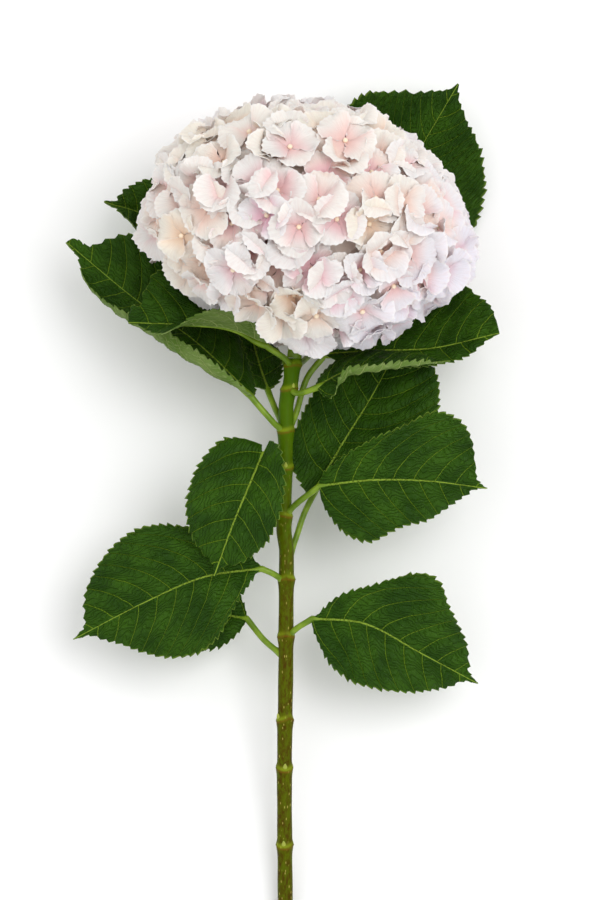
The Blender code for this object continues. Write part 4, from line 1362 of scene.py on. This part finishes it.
def make_heart():
    """A dented ball inside the florets, drawn in wherever it would come near a leaf."""
    deselect_all()
    bpy.ops.mesh.primitive_ico_sphere_add(subdivisions=5, radius=1.0)
    heart = bpy.context.object
    heart.name = "bloom_heart"
    for corner in heart.data.vertices:
        way = corner.co.normalized()
        share = HEART_SHARE - 0.03 * (1.0 - abs(way.z))
        point = bloom_point(way, share)
        while share > 0.4 and any(tree.find_nearest(point, 3.0)[0] is not None for tree in leaf_trees):
            share -= 0.04
            point = bloom_point(way, share)
        corner.co = keep_above_table(point, 1.0)
    return heart


def make_neck():
    """The thick stalk that carries the florets, from the top of the stem into the head."""
    points = [stem_axis(STEM_TOP + 0.2).lerp(BLOOM_CENTRE, step / 12) for step in range(9)]
    return make_tube("bloom_neck", points, [STEM_RADIUS - 0.3 + 0.15 * step for step in range(9)], 6)


heart = make_heart()
heart.data.materials.append(HEART)
neck = make_neck()
neck.data.materials.append(STALK_SKIN)
finish_bloom_piece(heart)
finish_bloom_piece(neck)
print("beads, branchlets, heart and neck are on")

# %% [markdown]
# ## Table, light and camera
#
# The table is a plain pale sheet. One wide soft light stands above the viewer's right shoulder, a
# weaker one fills from the left, and a pale surround lifts the shadows. The camera looks straight
# down on the lying flower through a long lens, so that the stem runs up the picture.

# %% Stage
SURROUND = 0.83
deselect_all()
bpy.ops.mesh.primitive_plane_add(size=8.0, location=(0.0, 0.0, 0.0))
floor = bpy.context.object
floor.name = "table_top"
paper, paper_shader = new_material("pale_table_paper")
paper_shader.inputs["Base Color"].default_value = linear("#FAFAFA")
paper_shader.inputs["Roughness"].default_value = 0.9
paper_shader.inputs["Specular IOR Level"].default_value = 0.1
floor.data.materials.append(paper)

world = bpy.context.scene.world or bpy.data.worlds.new("surround")
bpy.context.scene.world = world
world.use_nodes = True
world.node_tree.nodes["Background"].inputs["Color"].default_value = (1.0, 1.0, 1.0, 1.0)
world.node_tree.nodes["Background"].inputs["Strength"].default_value = SURROUND


def add_softbox(name, place, aim, size, power):
    """A square area light that looks at a point of the standing plant."""
    lamp = bpy.data.lights.new(name, "AREA")
    lamp.shape = "SQUARE"
    lamp.size = size
    lamp.energy = power
    holder = bpy.data.objects.new(name, lamp)
    bpy.context.scene.collection.objects.link(holder)
    start = LIE_DOWN @ Vector(place)
    holder.location = start
    holder.rotation_euler = (LIE_DOWN @ Vector(aim) - start).to_track_quat("-Z", "Y").to_euler()


add_softbox("key_softbox", (850.0, 780.0, 1950.0), (0.0, 330.0, 0.0), 1.3, 20.0)
add_softbox("fill_softbox", (-1100.0, 300.0, 1700.0), (0.0, 300.0, 0.0), 1.8, 5.0)
print("two soft lights and a pale surround are on")

# %% Camera
CAMERA_FAR = 3000.0
VIEW_TALL = 526.5
SENSOR = 36.0
lens = bpy.data.cameras.new("overhead_lens")
lens.sensor_width = SENSOR
lens.lens = SENSOR * CAMERA_FAR / VIEW_TALL
lens.clip_end = 20.0
camera = bpy.data.objects.new("overhead_camera", lens)
bpy.context.scene.collection.objects.link(camera)
camera.location = LIE_DOWN @ Vector((8.5, 291.9, CAMERA_FAR))
camera.rotation_euler = (LIE_ANGLE, 0.0, 0.0)
bpy.context.scene.camera = camera
bpy.context.scene.view_settings.view_transform = "Standard"
print("the camera is", round(camera.location.z, 2), "m above the table")

# %% Sizes, and done
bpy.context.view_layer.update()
meshes = [piece.data for piece in bpy.data.objects if piece.type == "MESH"]
triangles = sum(len(face.vertices) - 2 for mesh in meshes for face in mesh.polygons)
print("solids, pieces and table have", triangles, "triangles")
